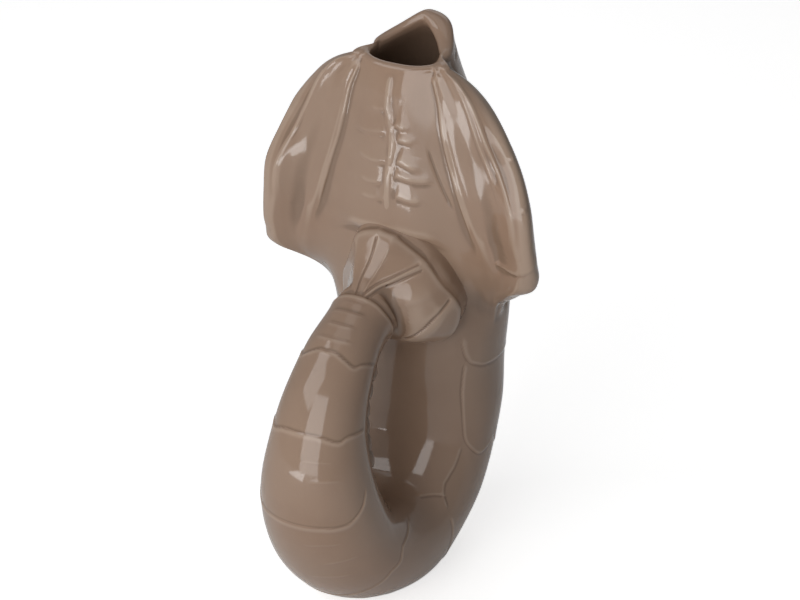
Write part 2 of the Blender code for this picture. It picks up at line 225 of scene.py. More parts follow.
def claw_corners(places):
    """Where each corner's own curve crosses each section's tilted plane: across, along and drop."""
    drops = np.arange(0, 200, 0.5)
    steps = np.interp(drops, [row[0] for row in CLAW], range(len(CLAW)))
    rows = between([row[1:] for row in CLAW], steps)
    body = between(SECTIONS, np.linspace(8, -0.25, 400))
    heights, levels = RIM_HEIGHT - drops * MM, RIM_HEIGHT * body[:, MIDDLE_Z]
    flank = np.interp(heights, levels, HALF_WIDTH * body[:, WIDTH])
    middle = np.interp(heights, levels, REACH * body[:, MIDDLE_Y])
    x = flank[:, None] + rows[:, 0::2] * MM
    y = middle[:, None] + rows[:, 1::2] * MM
    turn, y0, z0 = (value[:, None, None] for value in section_frame(places))
    above = (y[None] - y0) * np.sin(turn) + (heights[None, :, None] - z0) * np.cos(turn)
    along = -(y[None] - y0) * np.cos(turn) + (heights[None, :, None] - z0) * np.sin(turn)
    found = np.zeros((len(places), CORE + 1, 3))
    for ring in range(len(places)):
        for corner in range(CORE + 1):
            order = above[ring, ::-1, corner]
            for axis, value in enumerate((x[:, corner], along[ring, :, corner], drops)):
                found[ring, corner, axis] = np.interp(0, order, value[::-1])
    return found


print("claw: corners", CORE + 1, "and length in mm", CLAW[-1][0])

# %% [markdown]
# ## One grid over the whole vase
# Rings run down the trunk, round the bend and along the tail, less than a millimetre apart.
# Columns run round each ring. An even grid would need far more points to keep the claws' ridges
# sharp. So beside the claws the columns follow the claw's corners, and a ridge is always a column.
# Lower down they spread out evenly.

# %% Rings at even steps
LIP = 0.18  # the place where the rounded lip begins
RING_STEP = 0.88 * MM


def spaced_places():
    """Ring places at even steps along the skin's own run."""
    fine = np.linspace(LIP, FAN_END, 6000)
    _, y, z = section_frame(fine)
    centre = np.hypot(np.diff(y), np.diff(z))
    back = np.linalg.norm(np.diff(skin(fine, -90.0), axis=0), axis=1)
    run = np.concatenate([[0], np.cumsum(0.5 * centre + 0.5 * back)])
    return np.interp(np.linspace(0, run[-1], round(run[-1] / RING_STEP)), run, fine)


PLACES = spaced_places()
CORNERS = claw_corners(PLACES)
ROW = between(SECTIONS, PLACES)
print("rings:", len(PLACES))

# %% Columns that follow the claw's corners
STRETCHES = (48, 16, 22, 14, 24, 14, 58)  # columns from the belly's middle to the back's middle
MARKS = np.cumsum((0, *STRETCHES))  # middle, crease, valley, ridge, outer, back, back crease, middle
CREASE_AT, RIDGE_AT, SEAM_AT = (int(MARKS[mark]) for mark in (1, 3, 6))
HALF = int(MARKS[-1])
SIDE = np.concatenate([np.arange(HALF + 1), np.arange(HALF - 1, 0, -1)])  # each column's own half column
NEVER_FLAT = (0.02, 0.98)  # keeps the crease off the belly's middle and the flank


def crease_angles():
    """The body angle of the crease beside the chest, which fixes where the claw's columns start."""
    power = ROW[:, BELLY_POWER] / 2
    out = np.clip(CORNERS[:, CREASE, 1] / (HALF_DEPTH * ROW[:, BELLY]), *NEVER_FLAT) ** power
    side = np.clip(CORNERS[:, CREASE, 0] / (HALF_WIDTH * ROW[:, WIDTH]), *NEVER_FLAT) ** power
    angle = np.degrees(np.arctan2(out, side))
    last = np.searchsorted(PLACES, 5.6)
    angle[last:] = angle[last]
    return angle


def half_angles():
    """Body angles of the right half's columns, ring by ring."""
    crease = crease_angles()[:, None]
    k = np.arange(HALF + 1)[None]
    chest = 90 + (crease - 90) * k / CREASE_AT
    claw = crease + (BACK_CREASE - crease) * (k - CREASE_AT) / (SEAM_AT - CREASE_AT)
    back = BACK_CREASE + (-90 - BACK_CREASE) * (k - SEAM_AT) / (HALF - SEAM_AT)
    beside = np.where(k <= CREASE_AT, chest, np.where(k <= SEAM_AT, claw, back))
    even = 90 - 180 * k / HALF
    blend = smooth_step(6.0, 9.0, PLACES)[:, None]
    return beside * (1 - blend) + even * blend


ANGLES = half_angles()
print("columns:", 2 * HALF)

# %% Rings that follow the fan's edge
FAN_EDGE = ((-90, 19.3), (-62, 19.2), (-46, 19.2), (-32, 19.28), (-17, 19.42), (-9, 19.65), (7, 20.1),
            (90, 20.5))
TURNED_IN = 0.9  # how many places the skin runs on past the fan's edge


def fan_edge(angle):
    """The place where the fan's thick outer edge meets the belly."""
    return read(FAN_EDGE, angle)


def grid_places():
    """Each point's own place: level rings, squeezed along the fan so that they follow its edge."""
    end = fan_edge(ANGLES) + TURNED_IN
    share = (PLACES[:, None] - TAIL_END) / (FAN_END - TAIL_END)
    return np.where(share > 0, TAIL_END + share * (end - TAIL_END), PLACES[:, None])


HALF_PLACE = grid_places()
print("the fan's rings end between", HALF_PLACE[-1].min().round(2), "and", HALF_PLACE[-1].max().round(2))

# %% [markdown]
# ## The chest panel
# Between the claws lies a smooth raised panel, which ends over the fan in a thick overhanging lip.
# It could be a slab laid on the trunk. Here it is a height added to the skin: 3.4 mm in the middle,
# sinking towards the crease beside each claw, with a round edge below.

# %% How far the chest stands out
CHEST = 3.4 * MM
CHEST_RUN = 31 * MM  # the skin's run along one place
SUNK_SIDES, LOW_TOP = 0.85, 0.45  # how far the sides sink, and how high the top starts
LIP_LINE = ((0, 4.1), (20, 4.13), (30, 4.2), (39, 4.28), (52, 4.48), (90, 4.75))


def lip_place(angle):
    """Where the chest's lower lip runs."""
    return read(LIP_LINE, np.abs(angle - 90))


def quarter_round(past, radius):
    """A round edge: 1 until a radius before the edge, then down a quarter circle to 0."""
    return np.sqrt(np.clip(1 - ((past + radius) / radius) ** 2, 0, 1))


def chest_rise(place, angle, crease):
    """The panel's height above the plain body."""
    share = (90 - angle) / (90 - crease)
    sides = 1 - SUNK_SIDES * smooth_step(0.05, 0.95, share)
    top = LOW_TOP + (1 - LOW_TOP) * smooth_step(LIP, 1.1, place)
    below = (place - lip_place(angle)) * CHEST_RUN
    # The lip is thick and round over the fan, and dies away towards the claws.
    radius = (4 + 24 * smooth_step(14, 46, np.abs(angle - 90))) * MM
    lower = np.where(below < -radius, 1, np.where(below < 0, quarter_round(below, radius), 0))
    return CHEST * sides * lower * top


print("chest panel in mm:", round(CHEST / MM, 1), "high, down to place", LIP_LINE[0][1])

# %% [markdown]
# ## The fan's form
# The tail spreads into a fan that leans on the chest and is fused to it. Its blades could be five
# leaves laid side by side, but the real ones are one thick sheet with a rounded edge. So the skin
# flares out, rounds its edge and turns back in towards the belly.

# %% How far the fan stands out
FAN_RUN = 12 * MM  # the skin's run along one place
EDGE_RADIUS = 2 * MM
FLARE, BASE, UNDER_FLARE = 3.5 * MM, 2.4 * MM, 0.4  # the flare is weaker on the underside
SINK = 0.12  # how fast the turned edge sinks into the belly


def fan_rise(place, angle):
    """The fan flares, ends in a quarter round, and then sinks where it joins the belly."""
    past = (place - fan_edge(angle)) * FAN_RUN
    flare = FLARE * smooth_step(17.6, 19.3, place) * (1 - UNDER_FLARE * smooth_step(30, 90, angle))
    base = BASE * band(17.02, 17.45, 18.0, 19.2, place) * band(-68, -40, 50, 90, angle)
    over = np.where(past < 0, quarter_round(past, EDGE_RADIUS) * EDGE_RADIUS, 0)
    turned = over - EDGE_RADIUS - np.maximum(past, 0) * SINK
    return flare + base + np.where((place > 18) & (past > -EDGE_RADIUS), turned, 0)


print("fan in mm: flare", round(FLARE / MM, 1), "and edge radius", round(EDGE_RADIUS / MM, 1))

# %% [markdown]
# ## The right half, and the whole skin
# The chest and the fan are heights on the plain body. The claw isn't, because it hangs over: each
# ring gets the claw's own outline, a smooth curve through its corners, and the wrist fades into the
# flank. A sculptor would shape both sides. Here one half is made and mirrored, and what differs
# between the sides is added afterwards.

# %% The right half of the skin
def claw_outlines():
    """Each ring's outline of the claw: core, corners and the seat on the trunk's back."""
    back, power = np.radians(BACK_CREASE), 2 / ROW[:, BACK_POWER]
    seat_across = HALF_WIDTH * ROW[:, WIDTH] * np.cos(back) ** power
    seat_along = -HALF_DEPTH * ROW[:, BACKSIDE] * np.sin(-back) ** power
    seat = np.stack([seat_across, seat_along], -1)[:, None]
    return np.concatenate([CORNERS[:, CORE:, :2], CORNERS[:, :CORE, :2], seat], 1)


def right_half():
    """The points of the right half, before any relief."""
    crease = crease_angles()[:, None]
    chest = np.arange(HALF + 1)[None] <= CREASE_AT
    rise = np.where(chest, chest_rise(HALF_PLACE, ANGLES, crease), 0)
    points = skin(HALF_PLACE, ANGLES, rise + fan_rise(HALF_PLACE, ANGLES), TABLE)
    fade = (1 - smooth_step(*CLAW_FADE, CORNERS[:, OUTER, 2])) * (PLACES < SOMITE_ENDS[0])
    # The chest's sides swing out to meet the claw's inner edge.
    inner = raise_section(PLACES, crease[:, 0], CORNERS[:, CREASE, 0], CORNERS[:, CREASE, 1], TABLE)
    reach = (np.arange(CREASE_AT) / CREASE_AT)[None, :, None] ** 3
    points[:, :CREASE_AT] += reach * (fade[:, None] * (inner - points[:, CREASE_AT]))[:, None]
    outlines = claw_outlines()
    for stretch in range(1, 6):
        start, end = MARKS[stretch], MARKS[stretch + 1]
        t = stretch + np.arange(end - start) / (end - start)
        for ring in np.flatnonzero(fade > 0):
            outline = between(outlines[ring], t)
            angle = ANGLES[ring, start:end]
            claw = raise_section(PLACES[ring], angle, outline[:, 0], outline[:, 1], TABLE)
            points[ring, start:end] += fade[ring] * (claw - points[ring, start:end])
    return points


def whole(half):
    """Both halves side by side: the right one from belly to back, then the left one back again."""
    return np.concatenate([half, half[:, -2:0:-1] * (-1, 1, 1)], 1)


BODY_ANGLE = np.concatenate([ANGLES, -180 - ANGLES[:, -2:0:-1]], 1)
PLACE = np.concatenate([HALF_PLACE, HALF_PLACE[:, -2:0:-1]], 1)
RINGS, COLUMNS = BODY_ANGLE.shape
EVEN_SKIN = whole(right_half())
print("skin points:", RINGS * COLUMNS)

# %% [markdown]
# ## Flat blades
# Seen from the front, each blade of the fan is nearly flat between two joints, like the leaves of
# a folding screen. Five planes would meet in hard lines. So each ring of the fan keeps its points
# at the joints, and the points between them are drawn most of the way to the straight line.

# %% Facets of the fan
FACETED = 0.85  # how much of the way


def joint_angles(place):
    """The body angles of the fan's joints at a place, from the right below round to the left below."""
    wide = read(((17.06, -77), (17.6, -66), (18.24, -57), (19.57, -46.5)), place)
    low = read(((17.3, 46), (18.03, 32), (18.79, 6), (20.03, -6)), place)
    middle = read(((17.06, -82), (18.2, -83), (19.3, -84.5)), place)
    groove = read(((17.06, -92), (17.87, -101), (19.4, -101)), place)
    return np.array([low, wide, middle, groove, -180 - wide, -180 - low])


def faceted(points):
    """Each blade of the fan is nearly flat from joint to joint."""
    points = points.copy()
    columns = np.arange(COLUMNS)
    for ring in range(int(np.searchsorted(PLACES, 17.1)), RINGS):
        place, angles = PLACE[ring].mean(), BODY_ANGLE[ring]
        joints = joint_angles(place)
        column = np.interp(-joints, -angles, columns)
        corners = [np.interp(column, columns, points[ring, :, axis]) for axis in range(3)]
        flat = np.stack([np.interp(-angles, -joints, corner) for corner in corners], -1)
        inside = (angles <= joints[0]) & (angles >= joints[-1])
        past = PLACE[ring] - fan_edge(np.maximum(angles, -180 - angles))
        weight = FACETED * smooth_step(17.05, 17.7, place) * (1 - smooth_step(-0.05, 0.45, past))
        points[ring, inside] += (weight[:, None] * (flat - points[ring]))[inside]
    return points


FACETED_SKIN = faceted(EVEN_SKIN)
print("facets move the skin by up to", round(np.abs(FACETED_SKIN - EVEN_SKIN).max() / MM, 1), "mm")

# %% [markdown]
# ## Made by hand
# A cast that is finished by hand is never quite even: this one has a thicker shoulder at the right
# of its rim, a fan that leans to the right, and a left wrist that sits lower and further out. Two
# halves made apart would need a join. Here small smooth shifts, in millimetres, do it, each fading
# to nothing over its own band of angles, places or heights.

# %% The rim
PLACE_OF_RING = PLACES[:, None]
SHOULDER, UPWARD, PINCH, PEAK = 4.5 * MM, 1.1, 3 * MM, 1.9 * MM


def uneven_rim(points):
    """The right shoulder is thick, the left side is pinched in, and the beak leans to the left."""
    around = np.radians(BODY_ANGLE)
    near = np.maximum(0, 1 - PLACE_OF_RING / 2.2) ** 2
    outward = np.stack([np.cos(around), -np.sin(around), np.full(around.shape, UPWARD)], -1)
    points += (SHOULDER * near * bell(BODY_ANGLE + 56, 24))[..., None] * outward
    points[..., 0] += PINCH * near * bell(BODY_ANGLE + 180, 30)
    points[..., 2] += PEAK * np.maximum(0, 1 - PLACE_OF_RING / 1.2) ** 2 * bell(BODY_ANGLE + 106, 20)


# %% The fan
LEAN, WIDER, TOP_RISE = 4 * MM, 3 * MM, 7 * MM
FORWARD = np.array((2.4, -5, 0)) * MM


def leaning_fan(points):
    """The fan leans right and widens at the left, its right side comes forward, its left top rises."""
    left = smooth_step(0.2, 1, -np.cos(np.radians(BODY_ANGLE)))
    points[..., 0] += smooth_step(17.2, 18.8, PLACE) * (LEAN + WIDER * left)
    past = PLACE - fan_edge(np.clip(BODY_ANGLE, -90, 90))
    right = band(-60, -20, 40, 85, BODY_ANGLE) * (1 - smooth_step(0.1, 0.8, past))
    points += (smooth_step(17.2, 18.4, PLACE) * right)[..., None] * FORWARD
    points[..., 2] += TOP_RISE * smooth_step(17.8, 19.4, PLACE) * bell(BODY_ANGLE + 130, 34)


# %% The claws, the wrists and the bend
WRIST_OUT, WRIST_DOWN, WIDER_BEND = 4.8 * MM, 4 * MM, 0.05
FULL_LEFT, FULL_RIGHT, SHOULDER_RISE = 1.8 * MM, 0.5 * MM, 3 * MM


def uneven_claws(points):
    """The left wrist is low and far out, the shoulders are full, and the bend is a little wider."""
    height, trunk = points[..., 2] / MM, 1 - smooth_step(7.5, 8.5, PLACE)
    wrist = trunk * band(143, 160, 172, 190, height)
    points[..., 0] -= WRIST_OUT * wrist * smooth_step(26, 44, -points[..., 0] / MM)
    wrist = trunk * band(158, 178, 188, 225, height)
    points[..., 2] -= WRIST_DOWN * wrist * smooth_step(34, 60, -points[..., 0] / MM)
    claw = trunk * smooth_step(20, 36, np.abs(points[..., 0]) / MM)
    outward = np.where(points[..., 0] < 0, -FULL_LEFT, FULL_RIGHT)
    points[..., 0] += claw * band(205, 250, 285, 304, height) * outward
    points[..., 2] += SHOULDER_RISE * claw * band(258, 280, 290, 306, height)
    points[..., 0] *= 1 + WIDER_BEND * band(12, 40, 85, 120, height)


HAND_MADE = FACETED_SKIN.copy()
for change in (uneven_rim, leaning_fan, uneven_claws):
    change(HAND_MADE)
print("uneven by up to", round(np.abs(HAND_MADE - FACETED_SKIN).max() / MM, 1), "mm")

# %% [markdown]
# ## The glaze rounds every edge
# A thick glaze fills corners and rounds ridges. A real fluid would take hours to simulate, and a
# subdivision surface rounds everything alike. Blurring the points by a millimetre or two does what
# the glaze does, and a wider blur on the palms and wrists stands for the softer clay there.

# %% Blur a grid, and find its normals
def blurred(values, rings, columns):
    """Blurs a grid that is closed round its columns, and carried on straight past its ends."""
    out = np.asarray(values, float)
    for axis, spread in ((0, rings), (1, columns)):
        reach = math.ceil(3 * spread)
        weights = bell(np.arange(-reach, reach + 1), spread * math.sqrt(2))
        weights /= weights.sum()
        total = 0
        for shift, weight in zip(range(-reach, reach + 1), weights):
            if axis:
                total = total + weight * np.roll(out, shift, 1)
            else:
                index = np.arange(len(out)) - shift
                inside = np.clip(index, 0, len(out) - 1)
                over = (index - inside).reshape(-1, *[1] * (out.ndim - 1))
                edge = np.where(over < 0, out[1] - out[0], out[-1] - out[-2])
                total = total + weight * (out[inside] + edge * over)
        out = total
    return out


def normals_of(points):
    """The outward direction at each point of a grid."""
    along = np.gradient(points, axis=0)
    around = np.roll(points, -1, 1) - np.roll(points, 1, 1)
    normal = np.cross(along, around)
    return normal / np.maximum(np.linalg.norm(normal, axis=-1, keepdims=True), 1e-12)


# %% Soften the skin
CRISP, SOFT = (1.6, 1.8), (7, 6)  # how far each blur reaches, in rings and in columns


def softened(points):
    """Crisp nearly everywhere, and soft low on the palms, over the wrists and on the claws' tops."""
    crisp, soft = blurred(points, *CRISP), blurred(points, *SOFT)
    drop, column = CORNERS[:, VALLEY, 2][:, None], SIDE[None]
    low = band(78, 112, 185, 215, drop)
    claws = low * band(CREASE_AT - 26, CREASE_AT - 4, RIDGE_AT - 8, RIDGE_AT + 2, column)
    upper = smooth_step(12, 30, drop) * (1 - low)
    palm = upper * band(CREASE_AT, CREASE_AT + 6, RIDGE_AT - 12, RIDGE_AT - 3, column)
    top = smooth_step(RIDGE_AT - 4, RIDGE_AT + 8, column) * band(2, 9, 22, 40, drop)
    return crisp + np.maximum(np.maximum(claws, palm), top)[..., None] * (soft - crisp)


SKIN = softened(HAND_MADE)
NORMAL = normals_of(SKIN)
print("the blur moves the skin by up to", round(np.abs(SKIN - HAND_MADE).max() / MM, 1), "mm")

# %% [markdown]
# ## Relief
# The shell's plates, pleats and creases are shallow lines in the clay, softened by the glaze. They
# could be sculpted, or faked with a bump texture that vanishes at the outline. Here each is a curve
# on the skin, given by places and body angles. Every grid point near the curve learns how far it
# lies to one side of it, and moves along its own normal by a profile: a bead, a groove, or a lap,
# where one plate ends over the next.

# %% Curves on the skin
RELIEF = np.zeros((RINGS, COLUMNS))
CURVE_STEP = 0.4 * MM


def ring_of(place):
    return int(np.searchsorted(PLACES, place))


def on_grid(place, angle):
    """Ring and column, as fractions, of a place and body angle."""
    ring = float(np.interp(place, PLACES, np.arange(RINGS)))
    angle = (angle - 90.0001) % 360 - 269.9999  # as the grid counts them, from 90 down to -270
    row = BODY_ANGLE[int(round(ring))]
    column = float(np.interp(-angle, -row, np.arange(COLUMNS)))
    return ring, column


def spots(*pairs):
    """Ring and column of each place and angle, with the columns counted on across the belly's middle."""
    found = np.array([on_grid(place, angle) for place, angle in pairs])
    found[:, 1] = np.unwrap(found[:, 1], period=COLUMNS)
    return found


def sampled(grid, ring, column):
    """Reads a grid between its points."""
    ring, column = np.clip(ring, 0, RINGS - 1.001), np.asarray(column, float)
    r, c = np.floor(ring).astype(int), np.floor(column).astype(int)
    fr, fc = (ring - r)[..., None], (column - c)[..., None]
    a, b = c % COLUMNS, (c + 1) % COLUMNS
    top = grid[r, a] * (1 - fc) + grid[r, b] * fc
    return top * (1 - fr) + (grid[r + 1, a] * (1 - fc) + grid[r + 1, b] * fc) * fr


def curve_on_skin(line, mirrored):
    """A smooth curve through ring and column spots, as evenly spaced points, tangents and normals."""
    line = np.asarray(line, float)
    if mirrored:
        line = line * (1, -1)
    fine = between(line, np.linspace(0, len(line) - 1, 40 * len(line)))
    points = sampled(SKIN, fine[:, 0], fine[:, 1])
    run = np.concatenate([[0], np.cumsum(np.linalg.norm(np.diff(points, axis=0), axis=1))])
    count = np.arange(len(run))
    even = np.interp(np.linspace(0, run[-1], max(4, round(run[-1] / CURVE_STEP))), run, count)
    track = np.stack([np.interp(even, count, fine[:, axis]) for axis in (0, 1)], -1)
    points = sampled(SKIN, track[:, 0], track[:, 1])
    tangents = np.gradient(points, axis=0)
    tangents /= np.linalg.norm(tangents, axis=1, keepdims=True)
    normals = sampled(NORMAL, track[:, 0], track[:, 1])
    return points, tangents, normals, run[-1]


# %% Draw a profile along a curve
SKIN_DEPTH = 4 * MM  # a curve acts on points that lie this near its own surface
AT_ONCE = 4000  # points measured in one go, to save memory


def upstream(line, mirrored):
    """The direction up the body, towards the mouth, at the middle of a curve."""
    ring, column = np.asarray(line, float)[len(line) // 2]
    column = np.array([-column if mirrored else column])
    return (sampled(SKIN, np.array([ring - 2.0]), column) - sampled(SKIN, np.array([ring]), column))[0]


def draw(line, profile, reach, taper=6 * MM, mirror=True, start=None):
    """Adds a profile along a curve: profile(side) with the upstream side positive."""
    start = taper if start is None else start
    flat = SKIN.reshape(-1, 3)
    for mirrored in (False, True) if mirror else (False,):
        points, tangents, normals, length = curve_on_skin(line, mirrored)
        sides = np.cross(tangents, normals)
        if np.dot(sides[len(points) // 2], upstream(line, mirrored)) < 0:
            sides = -sides
        low, high = points.min(0) - reach, points.max(0) + reach
        near = np.flatnonzero(((flat > low) & (flat < high)).all(1))
        for part in np.array_split(near, max(1, len(near) // AT_ONCE)):
            gap = flat[part][:, None] - points[None]
            nearest = (gap**2).sum(-1).argmin(1)
            delta = gap[np.arange(len(part)), nearest]
            side = (delta * sides[nearest]).sum(-1)
            along = nearest * length / (len(points) - 1) + (delta * tangents[nearest]).sum(-1)
            off = np.abs((delta * normals[nearest]).sum(-1)) < SKIN_DEPTH
            ends = smooth_step(0, start, along) * smooth_step(0, taper, length - along)
            RELIEF.reshape(-1)[part] += profile(side) * ends * off * (np.abs(side) < reach)


# %% Two profiles, in millimetres
def bead(height, width):
    """A raised round line, or a groove where the height is negative."""
    return lambda side: height * MM * bell(side, width * MM)


def lap(height, width, fade):
    """The upstream plate rises to its edge, and the next one starts a little below it."""

    def profile(side):
        above = 0.5 * (1 + np.tanh(side / (width * MM)))
        return height * MM * (above - 0.5 * (1 - above)) * np.exp(-np.abs(side) / (fade * MM))

    return profile


# %% [markdown]
# ### The tail's rings and the pleats on the flank
# Six rings of shell cover the tail. Seen from outside they end in low laps that run round the tail
# and dip a little at the sides. On the trunk's flanks each ring hangs down in a rounded tongue.
# Straight rings would be quicker, but the dips are what makes the tail look alive.

# %% Laps of the tail and the flank, as places and body angles
RING_LAP = lap(0.42, 0.4, 3)
TAIL_LINES = (
    ((15.91, -90), (15.91, -76), (15.84, -58), (15.78, -41), (15.85, -29), (15.92, -9), (15.97, 14)),
    ((14.75, -90), (14.74, -65), (14.67, -41), (14.74, -28), (14.77, -11), (14.8, 12)),
    ((13.31, -90), (13.3, -68), (13.27, -48), (13.28, -35), (13.37, -23), (13.48, -14), (13.6, -9),
     (13.8, -2)),
    ((11.7, -90), (11.7, -60), (11.7, -32), (11.73, -20), (11.67, -8), (11.72, 1), (11.71, 10), (11.27, 42)),
    ((9.93, -90), (9.95, -50), (9.98, -20), (9.97, 5), (9.94, 19.5)),
    ((8.45, -90), (8.42, -50), (8.3, -20), (8.2, -8)),
    ((6.7, -90), (6.72, -50), (6.75, -16), (6.78, 3), (6.8, 17), (6.72, 26.5), (6.56, 35), (6.3, 39.5),
     (6.03, 42)),
)
TONGUES = (
    ((6.6, 36), (7.11, 36.5), (7.59, 37), (8.17, 34.5), (8.47, 30), (8.59, 21), (8.61, 10), (8.5, 1.5),
     (8.37, -5), (8.2, -10)),
    ((8.53, 32.5), (9.01, 34.5), (9.34, 37), (9.55, 38), (9.76, 33), (9.94, 19.5)),
)
LOOP_ARC = ((10.28, 54), (10.0, 47), (9.82, 39), (9.71, 30))


def right_round(line):
    """A line that starts at the back's middle, carried on over it to the other side."""
    return spots(*[(place, -180 - angle) for place, angle in line[:0:-1]], *line)


for line in TAIL_LINES:
    draw(right_round(line), RING_LAP, 14 * MM, mirror=False)
draw(spots(*LOOP_ARC), RING_LAP, 8 * MM, taper=3 * MM)
for line in TONGUES:
    draw(spots(*line), RING_LAP, 14 * MM)
print("laps:", len(TAIL_LINES) + len(TONGUES) + 1)

# %% Ripples, wrinkles and the tail's last edge
RIPPLES = ((16.12, 40), (16.36, 34), (16.6, 42), (16.8, 30))  # place, and reach to both sides
WRINKLES = ((14.35, -96, -30), (14.05, -84, -22), (12.95, -92, -36), (12.6, -80, -24), (12.3, -98, -40),
            (11.2, -88, -30), (10.85, -76, -34))  # place, and the angles of both ends
TAIL_EDGE = ((16.97, -90), (16.98, -55), (16.96, -24), (17.05, 20), (17.05, 60), (17.05, 88))
for place, reach in RIPPLES:
    ripple = right_round(((place, -90), (place + 0.03, -90 + reach)))
    draw(ripple, lap(0.36, 0.8, 2.2), 7 * MM, mirror=False)
for place, low, high in WRINKLES:
    wrinkle = spots((place, low), (place + 0.03, (low + high) / 2), (place - 0.02, high))
    draw(wrinkle, bead(0.14, 0.9), 4 * MM, taper=12 * MM, mirror=False)
# The tail's end laps over the fan with a thicker, rounder edge.
draw(right_round(TAIL_EDGE), lap(0.9, 0.7, 5), 16 * MM, taper=3 * MM, mirror=False)
print("ripples and wrinkles:", len(RIPPLES) + len(WRINKLES))

# %% [markdown]
# ### The chest
# A raised line runs down the panel's middle, and soft creases cross it on both sides, as on the
# underside of a real shell. They could be one pattern mirrored, but each crease has its own place
# on the real vase, so the two sides differ.

# %% Lines of the chest
CHEST_MIDDLE = ((0.31, 90.8), (1.01, 91), (1.37, 91), (1.7, 90), (1.99, 89.2), (2.28, 88.5), (2.74, 89.5),
                (3.27, 90), (3.64, 90))
LEFT_CREASES = (
    ((2.09, 124.5), (2.14, 108), (2.07, 91)),
    ((2.6, 118), (2.72, 99), (2.7, 90)),
    ((3.05, 112), (3.16, 102), (3.14, 92)),
    ((3.45, 110), (3.47, 99), (3.43, 90)),
    ((1.5, 112), (1.55, 100), (1.5, 91)),
)
RIGHT_CREASES = (
    ((1.84, 88), (1.9, 83), (1.88, 74)),
    ((2.17, 86.5), (2.2, 78), (2.12, 69)),
    ((2.62, 86.5), (2.74, 77.5), (2.77, 67.5)),
    ((2.94, 87.5), (3.0, 74), (2.96, 57)),
    ((3.35, 87), (3.4, 76), (3.3, 67)),
)
AT_MIDDLE, OUTSIDE = 1.5 * MM, 8 * MM  # over which a crease rises and dies away
draw(spots(*CHEST_MIDDLE), bead(0.35, 1.2), 6 * MM, mirror=False)
for first, last in ((0, 4), (4, 7), (6, 9)):
    draw(spots(*CHEST_MIDDLE[first:last]), bead(0.5, 0.9), 6 * MM, taper=5 * MM, mirror=False)
for line in LEFT_CREASES:
    draw(spots(*line), lap(0.36, 1.4, 4.5), 14 * MM, taper=AT_MIDDLE, mirror=False, start=OUTSIDE)
for line in RIGHT_CREASES:
    draw(spots(*line), lap(0.7, 1.4, 4.5), 14 * MM, taper=OUTSIDE, mirror=False, start=AT_MIDDLE)
RIGHT_FOLD = ((2.18, 62.5), (2.85, 56), (3.5, 47.5))
draw(spots(*RIGHT_FOLD), bead(-0.35, 1.0), 5 * MM, taper=8 * MM, mirror=False)
print("creases:", len(LEFT_CREASES) + len(RIGHT_CREASES))

# %% [markdown]
# ### Ridges beside the chest and along the claws
# A claw's edges stand up in thin beads, which catch the light in long lines. A sharper corner in
# the claw's outline would blur away with the glaze, so the beads are drawn on top of it. The right
# claw also has a low cuff line across its end and two small bumps on its outer edge.

# %% Ridges, the cuff and the bumps
RIM_GROOVE = ((0.4, -80), (0.55, -58), (0.65, -36), (0.6, -14))
CUFF = ((4.36, 33), (4.44, 25), (4.4, 18), (4.27, 14), (4.1, 11))
RIDGES = ((0, 4.1, 0.65, True), (-8, 3.4, 0.4, False))  # columns off, last place, height, on both claws


def down_column(column, first, last):
    """Spots down one column, at every tenth ring."""
    return [(ring, column) for ring in np.arange(first, ring_of(last), 10)]


draw(spots(*RIM_GROOVE), bead(-0.7, 1.1), 5 * MM, taper=5 * MM, mirror=False)
draw(down_column(CREASE_AT, 2, 4.2), bead(0.8, 0.9), 5 * MM, taper=20 * MM, start=4 * MM)
for shift, last, height, both in RIDGES:
    ridge = down_column(RIDGE_AT + shift, ring_of(0.3), last)
    draw(ridge, bead(height, 1.0), 5 * MM, taper=30 * MM, mirror=both, start=10 * MM)
draw(spots(*CUFF), lap(0.5, 0.5, 3), 8 * MM, taper=2 * MM, mirror=False)
for place in (2.22, 3.12):
    bump = spots((place, 16.6), (place + 0.12, 16.2))
    draw(bump, bead(0.7, 1.5), 5 * MM, taper=1.6 * MM, mirror=False)
print("ridge height in mm, left and right:", RIDGES[0][2])

# %% [markdown]
# ### The fan
# Five blades open from the tail's end like a hand. Each is a flat facet between thin dark grooves,
# and a double ridge marks the widest joint. Separate blades would need a gap that the glaze has
# filled on the real vase, so grooves and ribs are drawn on the one sheet.

# %% Grooves and ribs of the fan
GROOVE = bead(-0.8, 0.6)
RIB, BESIDE = bead(0.6, 0.8), bead(-0.5, 0.7)


def rib(side):
    """A thin raised rib between two grooves."""
    return RIB(side) + BESIDE(np.abs(side) - 1.8 * MM)


FAN_LINES = (
    (((17.0, -78), (17.6, -66), (18.24, -57), (19.4, -47)), rib),
    (((17.0, -95), (17.87, -101), (18.61, -101), (19.5, -101)), GROOVE),
    (((17.1, -82), (18.2, -83), (19.2, -84.5)), bead(0.3, 0.6)),
    (((17.7, 45), (18.3, 18), (18.79, 3), (19.7, -8)), GROOVE),
    (((18.5, 62), (19.1, 52), (19.9, 42)), GROOVE),
)
for line, profile in FAN_LINES:
    draw(spots(*line), profile, 5 * MM, taper=1.5 * MM, mirror=False)
print("lines of the fan:", len(FAN_LINES))

# %% [markdown]
# ## Relief and foot together
# Each point moves along its normal by the relief, and the bend is then set down on the table. A
# potter grinds the foot flat; cutting the mesh with a plane would leave a knife edge. So heights
# near the table are eased to zero instead, which leaves a small round edge.

# %% Move the points, and stand the bend on the table
INSET = 0.3 * MM  # room for the relief inside the model's box
FOOT_ROUND = 1.5 * MM


def settled(points):
    """The foot is ground flat, with a small round where the skin meets the table."""
    z = points[..., 2]
    eased = (z + FOOT_ROUND) ** 2 / (4 * FOOT_ROUND)
    low = np.where(z > FOOT_ROUND, z, np.where(z < -FOOT_ROUND, 0, eased))
    return np.concatenate([points[..., :2], low[..., None]], -1)


